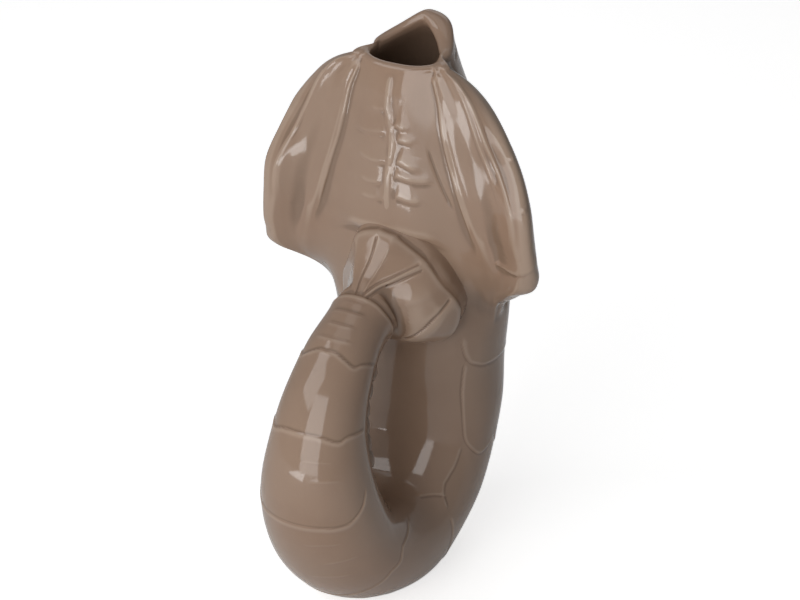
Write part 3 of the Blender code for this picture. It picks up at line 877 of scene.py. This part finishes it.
SHAPE = settled(SKIN + NORMAL * (RELIEF - INSET)[..., None])
print("relief in mm:", round(RELIEF.min() / MM, 2), "to", round(RELIEF.max() / MM, 2))

# %% [markdown]
# ## The lip of the mouth
# A cast lip is rounded by the sponge and the glaze. A bevel would follow the mesh and not the
# clay, so half a circle of rings, as wide as the wall, carries the skin over from the outside to
# the inside. The wall's inside goes on below it.

# %% Rings of the lip
LIP_RINGS = 14
LIP_WALL = (3.6 + 4.6 * smooth_step(40, 120, apart(BODY_ANGLE[0], 90))) * MM  # thicker at the back


def lip_rings():
    """Rings from the inside of the wall over the lip to the first ring of the skin."""
    uneven = SHAPE[0] - skin(LIP, BODY_ANGLE[0], 0, TABLE)
    rows = []
    for turn in np.linspace(np.pi, 0, LIP_RINGS, endpoint=False):
        inward = -LIP_WALL / 2 * (1 - np.cos(turn))
        row = skin(LIP * (1 - np.sin(turn)), BODY_ANGLE[0], inward, TABLE)
        rows.append(row + uneven * (1 + np.cos(turn)) / 2)
    return np.array(rows)


WITH_LIP = np.concatenate([lip_rings(), SHAPE])
LIP_NORMAL = normals_of(WITH_LIP)
SHAPE_NORMAL = LIP_NORMAL[LIP_RINGS:]
print("lip in mm:", round(LIP_WALL.min() / MM, 1), "to", round(LIP_WALL.max() / MM, 1), "thick")

# %% [markdown]
# ## Where the glaze pools and thins, with painted shade and highlight
# Glaze is darker in a crease and paler on an edge, and here the same colour also paints the shade in
# a crease and a highlight on an edge. A shader's pointiness could measure that, but the exported
# model loses it. Here a point below the average of its neighbours is in a crease, one above it is on
# an edge, and the number goes along with the mesh as an attribute.

# %% How hollow or sharp the skin is at each point
FULLY_HOLLOW = 0.12 * MM
AROUND = (2.6, 2.6)  # the neighbours' reach, in rings and in columns
HOLLOW = ((blurred(SHAPE, *AROUND) - SHAPE) * SHAPE_NORMAL).sum(-1) / FULLY_HOLLOW
HOLLOW = np.concatenate([np.zeros((LIP_RINGS, COLUMNS)), HOLLOW])
SHAPE_HOLLOW = HOLLOW[LIP_RINGS:]
print("hollow, from low to high:", np.round(np.percentile(HOLLOW, [1, 10, 50, 90, 99]), 2))

# %% [markdown]
# ## Closed pieces
# Each moulded section becomes its own closed shell. A Solidify modifier would give each one a wall,
# but as fine inside as outside. Here a fine outer sheet is cut from the grid, a coarser inner sheet
# lies a wall's thickness below, and a rim joins the two. Neighbours share their edge points and
# take their shading from the whole skin, so no seam shows where the glaze runs over it.

# %% Faces of a grid and of a rim
STRIDE = 4  # outer points for each inner point
# Painted shade: the inner sheets, which show as the cavity inside the mouth, are coloured as dark as a
# shallow crease.
INSIDE_SHADE = 0.8  # a shell's inner sheet is as dark as a shallow crease
PIECES = {}


def stops(count):
    """Every few positions, and always the last one."""
    return sorted({*range(0, count - 1, STRIDE), count - 1})


def orient(points, faces):
    """Turns all faces outward together, judged by the sign of the volume that they close."""
    fans = np.array([(face[0], b, c) for face in faces for b, c in zip(face[1:], face[2:])])
    a, b, c = (points[fans[:, corner]] for corner in range(3))
    return faces if (a * np.cross(b, c)).sum() > 0 else [face[::-1] for face in faces]


def grid_faces(rows, columns, closed, start, turned=False):
    """Faces between the points of a grid, whose first point has the number start."""
    i, j = np.meshgrid(np.arange(rows - 1), np.arange(columns if closed else columns - 1), indexing="ij")
    k = (j + 1) % columns
    quads = [i * columns + j, i * columns + k, (i + 1) * columns + k, (i + 1) * columns + j]
    quads = np.stack(quads, -1).reshape(-1, 4) + start
    return (quads[:, ::-1] if turned else quads).tolist()


def rim_faces(outer, inner, flip):
    """Faces between a fine edge and a coarse one: both are lists of (position, point index)."""
    faces = []
    for (a, low), (b, high) in zip(inner, inner[1:]):
        fine = [index for position, index in outer if a <= position <= b]
        faces.append([*fine, high, low])
    return [face[::-1] for face in faces] if flip else faces


# %% A mesh, and a closed shell
def add_mesh(name, points, faces, normals=None):
    """A smooth mesh object with its faces outward and, where they are given, its own normals."""
    mesh = bpy.data.meshes.new(name)
    mesh.from_pydata(points.tolist(), [], orient(points, faces))
    mesh.shade_smooth()
    if normals is not None:
        mesh.normals_split_custom_set_from_vertices(normals.tolist())
    return add_piece(name, mesh)


def add_piece(name, mesh):
    PIECES[name] = bpy.data.objects.new(name, mesh)
    bpy.context.scene.collection.objects.link(PIECES[name])
    return PIECES[name]


def add_shell(name, outer, normals, inner, closed, hollow, inward=None):
    """A closed body between a fine outer sheet and the inner sheet read at every few points."""
    rows, columns = outer.shape[:2]
    picked = stops(rows)
    across = list(range(0, columns, STRIDE)) if closed else stops(columns)
    below = inner[np.ix_(picked, across)]
    n, m = below.shape[:2]
    start = rows * columns
    faces = grid_faces(rows, columns, closed, 0) + grid_faces(n, m, closed, start, True)
    for row, depth, flip in ((0, 0, True), (rows - 1, n - 1, False)):
        edge = [(j, row * columns + j) for j in range(columns)]
        base = [(j, start + depth * m + k) for k, j in enumerate(across)]
        if closed:
            edge.append((columns, row * columns))
            base.append((columns, start + depth * m))
        faces += rim_faces(edge, base, flip)
    if not closed:
        for column, depth, flip in ((0, 0, False), (columns - 1, m - 1, True)):
            edge = [(i, i * columns + column) for i in range(rows)]
            base = [(i, start + k * m + depth) for k, i in enumerate(picked)]
            faces += rim_faces(edge, base, flip)
    points = np.concatenate([outer.reshape(-1, 3), below.reshape(-1, 3)])
    facing = (-normals if inward is None else inward)[np.ix_(picked, across)]
    piece = add_mesh(name, points, faces, np.concatenate([normals.reshape(-1, 3), facing.reshape(-1, 3)]))
    # The outer points carry how hollow they are; the inner sheet carries a fixed value of painted shade.
    values = np.concatenate([hollow.reshape(-1), np.full(n * m, INSIDE_SHADE)])
    piece.data.attributes.new("hollow", "FLOAT", "POINT").data.foreach_set("value", values)
    return piece


# %% [markdown]
# ## The trunk
# The trunk carries the mouth, the cavity and everything else. Its outside is seen only where no
# panel or claw covers it, so below those it passes a millimetre under the plain skin. Its inside is
# its own sheet, because the cavity is smooth where the outside has claws.

# %% The trunk, from the lip down to the first ring
UNDER_PANEL = 1.0 * MM
CLAW_TOP, CLAW_SPLIT, CLAW_END = ring_of(0.25), ring_of(4.33), ring_of(6.16)
CHEST_END, TRUNK_END = ring_of(4.65), ring_of(SOMITE_ENDS[0]) + 1


def carapace_sheet():
    """The trunk's outside, which passes plain below the chest panel and the claws."""
    sheet = SHAPE[:TRUNK_END].copy()
    plain = skin(PLACE[:TRUNK_END], BODY_ANGLE[:TRUNK_END], -UNDER_PANEL, TABLE)
    rings = np.arange(TRUNK_END)[:, None]
    chest = (SIDE <= CREASE_AT) & (rings < CHEST_END)
    claws = (SIDE > CREASE_AT) & (SIDE < SEAM_AT) & (rings < CLAW_END)
    hidden = (chest | claws) & (rings > CLAW_TOP)
    sheet[hidden] = plain[hidden]
    return np.concatenate([WITH_LIP[:LIP_RINGS], sheet])


def cavity_sheet():
    """The cavity's wall, which starts as thick as the lip."""
    place = np.linspace(LIP + 0.2, SOMITE_ENDS[0], LIP_RINGS + TRUNK_END)[:, None]
    thinner = (WALL - LIP_WALL) * (1 - smooth_step(LIP, 1.4, place))
    return skin(place, BODY_ANGLE[0][None], thinner - WALL, TABLE)


trunk, cavity = slice(0, LIP_RINGS + TRUNK_END), cavity_sheet()
add_shell("trunk", carapace_sheet(), LIP_NORMAL[trunk], cavity, True, HOLLOW[trunk], -normals_of(cavity))
print("trunk faces:", len(PIECES["trunk"].data.polygons))

# %% [markdown]
# ## The rings of the abdomen and the tail's end
# Six hollow rings go round the bend and up the tail, and a last one carries the fan. Each is the
# grid between two places, with the wall's inside one wall below. They could be lathed, but each
# ring tapers and bends, and its neighbours have to fit it to the point.

# %% Six rings and the tail's end
INNER = skin(PLACE, BODY_ANGLE, -WALL, TABLE)
INNER[..., 2] = np.maximum(INNER[..., 2], WALL)
TAIL_RING = ring_of(16.985)
RING_CUTS = [ring_of(place) for place in SOMITE_ENDS] + [TAIL_RING]
RING_NAMES = [f"ring_{number}" for number in range(1, 7)] + ["tail_end"]
for name, low, high in zip(RING_NAMES, RING_CUTS, RING_CUTS[1:]):
    rows = slice(low, high + 1)
    add_shell(name, SHAPE[rows], SHAPE_NORMAL[rows], INNER[rows], True, SHAPE_HOLLOW[rows])
print("rings:", RING_NAMES)

# %% [markdown]
# ## The chest panel and the claws' pieces
# These lie on the trunk like tiles. Each is cut from the grid between two columns, thin at its
# edges, where it meets its neighbours, and thicker in the middle. A claw is three such pieces: the
# palm, the finger with the outer edge, and the wrist.

# %% Patches on the trunk
EDGE_THICKNESS = 0.8 * MM


def add_patch(name, rows, low, high, side, thickness):
    """A shell from one column to another on one side, thin at its edges where it meets the trunk."""
    columns = np.arange(low, high + 1) * side % COLUMNS
    outer, normals = SHAPE[rows][:, columns], SHAPE_NORMAL[rows][:, columns]
    swell = np.sin(np.linspace(0, np.pi, len(columns)))[None, :, None]
    inner = outer - (EDGE_THICKNESS + thickness * swell) * normals
    return add_shell(name, outer, normals, inner, False, SHAPE_HOLLOW[rows][:, columns])


add_patch("chest", slice(CLAW_TOP, CHEST_END + 1), -CREASE_AT, CREASE_AT, 1, 1.5 * MM)
for hand, side in (("left", -1), ("right", 1)):
    upper, lower = slice(CLAW_TOP, CLAW_SPLIT + 1), slice(CLAW_SPLIT, CLAW_END + 1)
    add_patch(f"palm_{hand}", upper, CREASE_AT, RIDGE_AT, side, 3 * MM)
    add_patch(f"finger_{hand}", upper, RIDGE_AT, SEAM_AT, side, 3 * MM)
    add_patch(f"wrist_{hand}", lower, CREASE_AT, SEAM_AT, side, 1 * MM)
print("pieces so far:", len(PIECES))

# %% [markdown]
# ## The fan's blades
# The blades are cut from the grid along their joints. The fan is solid clay, so a blade's inner
# sheet isn't a wall below its outside but lies a quarter of the way to the middle of each ring.

# %% Five blades
INWARD = 0.25
BLADES = (
    ("blade_right_outer", 90, -10),
    ("blade_right_inner", -10, -58),
    ("blade_middle", -58, -122),
    ("blade_left_inner", -122, -170),
    ("blade_left_outer", -170, -270),
)


def column_of(angle):
    return int(round((90 - angle) / 360 * COLUMNS))


rows = slice(TAIL_RING, RINGS)
under = SHAPE[rows] + INWARD * (SHAPE[rows].mean(1, keepdims=True) - SHAPE[rows])
for name, low, high in BLADES:
    columns = np.arange(column_of(low), column_of(high) + 1) % COLUMNS
    outer, normals = SHAPE[rows][:, columns], SHAPE_NORMAL[rows][:, columns]
    add_shell(name, outer, normals, under[:, columns], False, SHAPE_HOLLOW[rows][:, columns])
print("pieces so far:", len(PIECES))

# %% [markdown]
# ## The foot
# The bend stands on a flat that is ground after firing. A round plate would be simpler, but it
# would show past the bend. The real outline is where the table would cut the skin, so it is found
# by asking which points of the unflattened skin lie below it.

# %% A flat foot
FOOT_POINTS = 96
FOOT_RINGS = ((4 * MM, 3 * MM), (0.6 * MM, 1.2 * MM), (0, 2 * MM))  # heights and insets


def add_foot():
    """A low plate with a rounded edge inside the outline of what the table cuts off."""
    low = SKIN.reshape(-1, 3)
    low = low[low[:, 2] < 0]
    middle = (low.min(0) + low.max(0)) / 2
    across, deep = low[:, 0] - middle[0], low[:, 1] - middle[1]
    angle, radius = np.arctan2(deep, across), np.hypot(deep, across)
    bins = ((angle / math.tau + 0.5) * FOOT_POINTS).astype(int) % FOOT_POINTS
    outline = np.array([radius[bins == k].max() for k in range(FOOT_POINTS)])
    for _ in range(6):
        outline = (np.roll(outline, 1) + 2 * outline + np.roll(outline, -1)) / 4
    turns = (np.arange(FOOT_POINTS) + 0.5) / FOOT_POINTS * math.tau - math.pi
    rings = []
    for height, inset in FOOT_RINGS:
        reach = outline - inset
        xy = middle[:2] + np.stack([np.cos(turns), np.sin(turns)], -1) * reach[:, None]
        rings.append(np.concatenate([xy, np.full((FOOT_POINTS, 1), height)], 1))
    top, bottom = range(FOOT_POINTS), range(2 * FOOT_POINTS, 3 * FOOT_POINTS)
    faces = grid_faces(3, FOOT_POINTS, True, 0) + [[*reversed(top)], [*bottom]]
    add_mesh("foot_flat", np.concatenate(rings), faces)


add_foot()
print("pieces so far:", len(PIECES))

# %% [markdown]
# ## The glaze
# One warm grey-brown glaze covers everything. It is glossy and smooth, a little darker in creases,
# partly where it pools and partly as painted shade, a little paler on edges, partly where it runs
# thin and partly as a painted highlight, and faintly mottled. A photograph wrapped round the vase
# would carry its own light along. Here the colour is worked out at each point, from the hollow
# attribute and from noise that lies still in the object's own space.

# %% A small class for shader maths
class Wire:
    """A socket that takes part in Python expressions, each operator adding its Math node."""

    def __init__(self, tree, socket):
        self.tree, self.socket = tree, socket

    def node(self, kind, settings=None, output=0, **inputs):
        """Any node: its settings first, then values or links for its sockets."""
        made = self.tree.nodes.new(kind)
        for key, value in (settings or {}).items():
            setattr(made, key, value)
        for key, value in inputs.items():
            socket = made.inputs[int(key[1:])] if key[0] == "i" and key[1:].isdigit() else made.inputs[key]
            if isinstance(value, Wire):
                self.tree.links.new(value.socket, socket)
            else:
                socket.default_value = value
        return Wire(self.tree, made.outputs[output])

    def math(self, operation, other, swapped=False):
        first, second = (other, self) if swapped else (self, other)
        return self.node("ShaderNodeMath", {"operation": operation}, i0=first, i1=second)

    def __add__(self, other):
        return self.math("ADD", other)

    def __mul__(self, other):
        return self.math("MULTIPLY", other)

    def __sub__(self, other):
        return self.math("SUBTRACT", other)

    def __rsub__(self, other):
        return self.math("SUBTRACT", other, True)

    __radd__, __rmul__ = __add__, __mul__

    def step(self, low, high):
        """0 below low, 1 above high, smooth between."""
        smooth = {"interpolation_type": "SMOOTHSTEP"}
        return self.node("ShaderNodeMapRange", smooth, i0=self, i1=low, i2=high, i3=0.0, i4=1.0)

    def mix(self, first, second):
        """A colour between two, by this value."""
        return self.node("ShaderNodeMix", {"data_type": "RGBA"}, output=2, i0=self, i6=first, i7=second)


# %% The taupe glaze
TAUPE = (0.345, 0.235, 0.168, 1)
# The dark colour is pooled glaze and also painted shade in creases; the pale one is thin glaze on edges and
# specks, and also a painted highlight on edges.
POOL_AND_SHADE = (0.235, 0.155, 0.107, 1)
THIN_AND_HIGHLIGHT = (0.45, 0.33, 0.25, 1)
WARM = (0.36, 0.215, 0.14, 1)
GLAZE_IOR = 1.52


def taupe_glaze():
    """Tinted in large clouds, darker in creases from pooling and painted shade, paler on edges from thin
    glaze and a painted highlight, with faint clouds and specks.
    """
    made = bpy.data.materials.new("taupe_glaze")
    made.use_nodes = True
    tree = made.node_tree
    shader = tree.nodes["Principled BSDF"]
    here = Wire(tree, tree.nodes.new("ShaderNodeTexCoord").outputs["Object"])
    bend = here.node("ShaderNodeAttribute", {"attribute_name": "hollow"}, output=2)

    def noise(scale, detail, rough):
        return here.node("ShaderNodeTexNoise", Vector=here, Scale=scale, Detail=detail, Roughness=rough)

    cloud, tint, speck = noise(22.0, 3.0, 0.55), noise(11.0, 2.0, 0.6), noise(520.0, 1.0, 0.5)
    # Painted shade in creases and a painted highlight on edges, on top of the glaze's own pooling and
    # thinning.
    pooled_and_shaded, thin = bend.step(0.15, 1.1), (0 - bend).step(0.55, 1.9)
    body = (tint.step(0.4, 0.7) * 0.4).mix(TAUPE, WARM)
    colour = (pooled_and_shaded * 0.8).mix((thin * 0.75).mix(body, THIN_AND_HIGHLIGHT), POOL_AND_SHADE)
    colour = (cloud.step(0.42, 0.66) * 0.16).mix(colour, POOL_AND_SHADE)
    colour = (speck.step(0.6, 0.75) * 0.05).mix(colour, THIN_AND_HIGHLIGHT)
    rough = 0.06 + cloud * 0.05
    bump = here.node("ShaderNodeBump", Height=noise(60.0, 1.0, 0.4), Strength=0.05, Distance=0.0006)
    for wire, socket in ((colour, "Base Color"), (rough, "Roughness"), (bump, "Normal")):
        tree.links.new(wire.socket, shader.inputs[socket])
    shader.inputs["IOR"].default_value = GLAZE_IOR
    return made


GLAZE = taupe_glaze()
print("nodes in the glaze:", len(GLAZE.node_tree.nodes))

# %% [markdown]
# ## Swimmerets
# Two rows of small leaf-shaped flaps line the inside of the tail's loop. They could be placed by
# hand, but a row follows a rule. So one flap is modelled once, and Geometry Nodes sets six of it
# along a curve that runs on the tail's inside.

# %% One flap
FLAP_WIDTH, FLAP_LENGTH, FLAP_ROOT, FLAP_TIP = 6.2 * MM, 13.5 * MM, 2.6 * MM, 0.4 * MM
FLAP_CURL, SUNK = 2.5 * MM, 3 * MM  # how far the tip curls over, and how deep the root is sunk
FLAP_ROUND, FLAP_STEPS = 20, 12


def flap_mesh():
    """A small leaf, thick at its root, rounded at its tip and curled over."""
    rings = []
    turns = [math.tau * corner / FLAP_ROUND for corner in range(FLAP_ROUND)]
    for step in range(FLAP_STEPS + 1):
        share = step / FLAP_STEPS
        leaf = math.sqrt(max(0.0, 1 - (2 * share - 0.75) ** 2 / 1.65)) * (1 - 0.5 * share**6)
        thick = FLAP_ROOT * (1 - 0.75 * share) + FLAP_TIP
        height, curl = FLAP_LENGTH * share - SUNK, FLAP_CURL * share**2
        rings.append([(thick * math.cos(t) + curl, FLAP_WIDTH * leaf * math.sin(t), height) for t in turns])
    tip, last = len(rings) * FLAP_ROUND, FLAP_STEPS * FLAP_ROUND
    points = [point for row in rings for point in row] + [(2.4 * MM, 0, 11.2 * MM)]
    faces = grid_faces(FLAP_STEPS + 1, FLAP_ROUND, True, 0) + [list(range(FLAP_ROUND))]
    faces += [[last + k, last + (k + 1) % FLAP_ROUND, tip] for k in range(FLAP_ROUND)]
    return add_mesh("flap", np.array(points), faces)


FLAP = flap_mesh()
print("flap faces:", len(FLAP.data.polygons))


# %% The row as Geometry Nodes
def row_tree(material):
    """Geometry Nodes: flaps along a curve, turned with it, made real and glazed."""
    tree = bpy.data.node_groups.new("swimmeret_row", "GeometryNodeTree")
    face = tree.interface
    face.new_socket("Geometry", in_out="INPUT", socket_type="NodeSocketGeometry")
    sizes = {}
    for name, kind in (("Flap", "NodeSocketObject"), ("Count", "NodeSocketInt")):
        sizes[name] = face.new_socket(name, in_out="INPUT", socket_type=kind).identifier
    face.new_socket("Geometry", in_out="OUTPUT", socket_type="NodeSocketGeometry")
    new = tree.nodes.new
    given, made = new("NodeGroupInput"), new("NodeGroupOutput")
    points, leaf = new("GeometryNodeCurveToPoints"), new("GeometryNodeObjectInfo")
    place, real = new("GeometryNodeInstanceOnPoints"), new("GeometryNodeRealizeInstances")
    paint = new("GeometryNodeSetMaterial")
    points.mode, leaf.transform_space = "COUNT", "ORIGINAL"
    paint.inputs["Material"].default_value = material
    for source, output, target, socket in (
        (given, "Geometry", points, "Curve"),
        (given, "Count", points, "Count"),
        (given, "Flap", leaf, "Object"),
        (points, "Points", place, "Points"),
        (points, "Rotation", place, "Rotation"),
        (leaf, "Geometry", place, "Instance"),
        (place, "Instances", real, "Geometry"),
        (real, "Geometry", paint, "Geometry"),
        (paint, "Geometry", made, "Geometry"),
    ):
        tree.links.new(source.outputs[output], target.inputs[socket])
    return tree, sizes


# %% Two rows, made plain
FLAP_PLACES = np.linspace(13.62, 15.8, 12)
FLAP_ANGLE, FLAP_COUNT, FLAP_INSET = 34, 6, 1.0 * MM  # the angle is from the belly's middle


def add_swimmerets(name, side):
    """A row of flaps along the tail's inside, turned to a plain mesh."""
    tree, sizes = row_tree(GLAZE)
    points = skin(FLAP_PLACES, 90 - side * FLAP_ANGLE, -FLAP_INSET, TABLE)
    curve = bpy.data.curves.new(name, "CURVE")
    curve.dimensions = "3D"
    spline = curve.splines.new("POLY")
    spline.points.add(len(points) - 1)
    for spot, point in zip(spline.points, points):
        spot.co = (*point, 1)
    row = bpy.data.objects.new(name + "_path", curve)
    bpy.context.scene.collection.objects.link(row)
    maker = row.modifiers.new("row", "NODES")
    maker.node_group = tree
    maker[sizes["Flap"]], maker[sizes["Count"]] = FLAP, FLAP_COUNT
    bpy.context.view_layer.update()
    made = bpy.data.meshes.new_from_object(row.evaluated_get(bpy.context.evaluated_depsgraph_get()))
    bpy.data.objects.remove(row)
    add_piece(name, made)
    print(name, "faces:", len(made.polygons))


add_swimmerets("flaps_right", 1)
add_swimmerets("flaps_left", -1)
bpy.data.objects.remove(PIECES.pop("flap"))

# %% Glaze every piece
for piece in PIECES.values():
    piece.data.materials.clear()
    piece.data.materials.append(GLAZE)
print("glazed pieces:", len(PIECES))

# %% [markdown]
# ## Each piece on its node
# The frame's own nodes stay for physics. Each shell stands for one node, whose own mesh is hidden,
# and rides on the one body. A table of names says which stands for which, so that the two calls
# are written once.

# %% Ride and replace
STANDS_FOR = {
    "trunk": "carapace",
    "chest": "chest_plate",
    "tail_end": "tail_root",
    "foot_flat": "foot",
    "blade_middle": "telson",
    "blade_right_inner": "uropod_right_inner",
    "blade_right_outer": "uropod_right_outer",
    "blade_left_inner": "uropod_left_inner",
    "blade_left_outer": "uropod_left_outer",
    "flaps_right": "swimmerets_right",
    "flaps_left": "swimmerets_left",
    **{f"ring_{number}": f"somite_{number}" for number in range(1, 7)},
    **{f"{part}_left": f"claw_left_{part}" for part in ("palm", "finger", "wrist")},
    **{f"{part}_right": f"claw_right_{part}" for part in ("palm", "finger", "wrist")},
}
for name, node in STANDS_FOR.items():
    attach(PIECES[name], "root")
    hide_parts(node)
print("nodes replaced:", len(STANDS_FOR))

# %% [markdown]
# ## The camera
# The photograph looks down a little from the viewer's right. A short lens close by would stretch
# the near claw, so a long lens stands 1.4 m away and looks at the vase's middle.

# %% The camera at the photograph's angle
AIM = np.array((0.0, 0.029, 0.155))
AZIMUTH, ELEVATION, DISTANCE = math.radians(28), math.radians(27), 1.40
SENSOR, FRAME_WIDTH, PIXELS_PER_MM = 36, 800, 1.84
AWAY = math.cos(ELEVATION)  # the share of the distance that lies level
BACKWARD = np.array((math.sin(AZIMUTH) * AWAY, -math.cos(AZIMUTH) * AWAY, math.sin(ELEVATION)))


def look_at(thing, place, target):
    """Puts a camera or a light at a place and turns it to a target."""
    thing.location = Vector(place)
    thing.rotation_euler = (Vector(target) - Vector(place)).to_track_quat("-Z", "Y").to_euler()


lens = bpy.data.cameras.new("camera")
lens.sensor_width = SENSOR
lens.lens = PIXELS_PER_MM * DISTANCE / MM * SENSOR / FRAME_WIDTH
camera = bpy.data.objects.new("camera", lens)
bpy.context.scene.collection.objects.link(camera)
look_at(camera, AIM + BACKWARD * DISTANCE, AIM)
bpy.context.scene.camera = camera
print("lens in mm:", round(lens.lens, 1))

# %% [markdown]
# ## Soft light
# A glossy glaze shows its lamps, so their shapes matter more than their strength. Small lamps would
# make hard white spots. A soft box high on the left is the main light, a tall box in front draws
# the long bright bands, a low one lights the underside of the bend, and weak ones from above and
# behind round off the shape.

# %% Soft boxes: place, target, size and watts
SOFT_BOXES = {
    "key_box": ((-0.7, -0.82, 1.25), (0, 0, 0.16), (0.9, 0.7), 4.3),
    "top_box": ((-0.2, -0.2, 1.6), (0, 0, 0.16), (0.8, 0.8), 1.1),
    "tall_box": ((0.05, -1.3, 0.5), (0, 0, 0.25), (0.86, 1.7), 12),
    "back_box": ((-0.3, 0.9, 1.1), (0, 0, 0.16), (0.8, 0.8), 1.8),
    "low_box": ((-0.23, -0.88, 0.01), (-0.23, -0.87, 1), (0.3, 0.6), 2.6),
}
for name, (place, target, size, watts) in SOFT_BOXES.items():
    light = bpy.data.lights.new(name, "AREA")
    light.shape = "RECTANGLE"
    light.size, light.size_y = size
    light.energy = watts
    box = bpy.data.objects.new(name, light)
    bpy.context.scene.collection.objects.link(box)
    look_at(box, place, target)
print("soft boxes:", len(SOFT_BOXES))

# %% [markdown]
# ## White surroundings and the floor
# A white room would light the vase from all sides and wash out its shape. So the world and the
# floor are white for the camera, less so in reflections, and dim as a source of light. The Light
# Path node tells these rays apart, and the floor still takes the vase's shadow.

# %% A white world that is dimmer for diffuse light
DIM, WHITE, WHITE_FLOOR = 0.1, (0.9, 0.25), (0.7, 0.15)  # the pairs: as seen, and in reflections


def by_ray(tree, seen, reflected):
    """A strength for what the camera sees, also through glass, and another for reflections."""
    path = tree.nodes.new("ShaderNodeLightPath")
    camera_ray, clear, glossy = (
        Wire(tree, path.outputs[f"Is {kind} Ray"]) for kind in ("Camera", "Transmission", "Glossy")
    )
    return seen * camera_ray + seen * clear + reflected * glossy


world = bpy.data.worlds.new("studio")
bpy.context.scene.world = world
world.use_nodes = True
background = world.node_tree.nodes["Background"]
background.inputs["Color"].default_value = (1, 1, 1, 1)
strength = DIM + by_ray(world.node_tree, *WHITE)
world.node_tree.links.new(strength.socket, background.inputs["Strength"])
print("nodes in the world:", len(world.node_tree.nodes))

# %% The floor
bpy.ops.mesh.primitive_plane_add(size=6, location=(0, 0, -0.2 * MM))
floor = bpy.context.object
floor.name = "floor"
paint = bpy.data.materials.new("pale_floor")
paint.use_nodes = True
shader = paint.node_tree.nodes["Principled BSDF"]
shader.inputs["Base Color"].default_value = (0.9, 0.9, 0.9, 1)
shader.inputs["Roughness"].default_value = 0.9
shader.inputs["Emission Strength"].default_value = 1
white = by_ray(paint.node_tree, *WHITE_FLOOR)
paint.node_tree.links.new(white.socket, shader.inputs["Emission Color"])
floor.data.materials.append(paint)
floor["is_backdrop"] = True
print("floor at", round(floor.location.z / MM, 1), "mm")

# %% [markdown]
# ## The size of what is shown
# The visual has to stay inside the CAD model's box. The box of every mesh that renders, without
# the floor, is printed in millimetres. The colours are shown as they are written.

# %% Colour as written, and the size of what is shown
bpy.context.scene.view_settings.view_transform = "Standard"
low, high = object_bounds()
print("box in mm:", [round(v / MM, 1) for v in low], [round(v / MM, 1) for v in high])
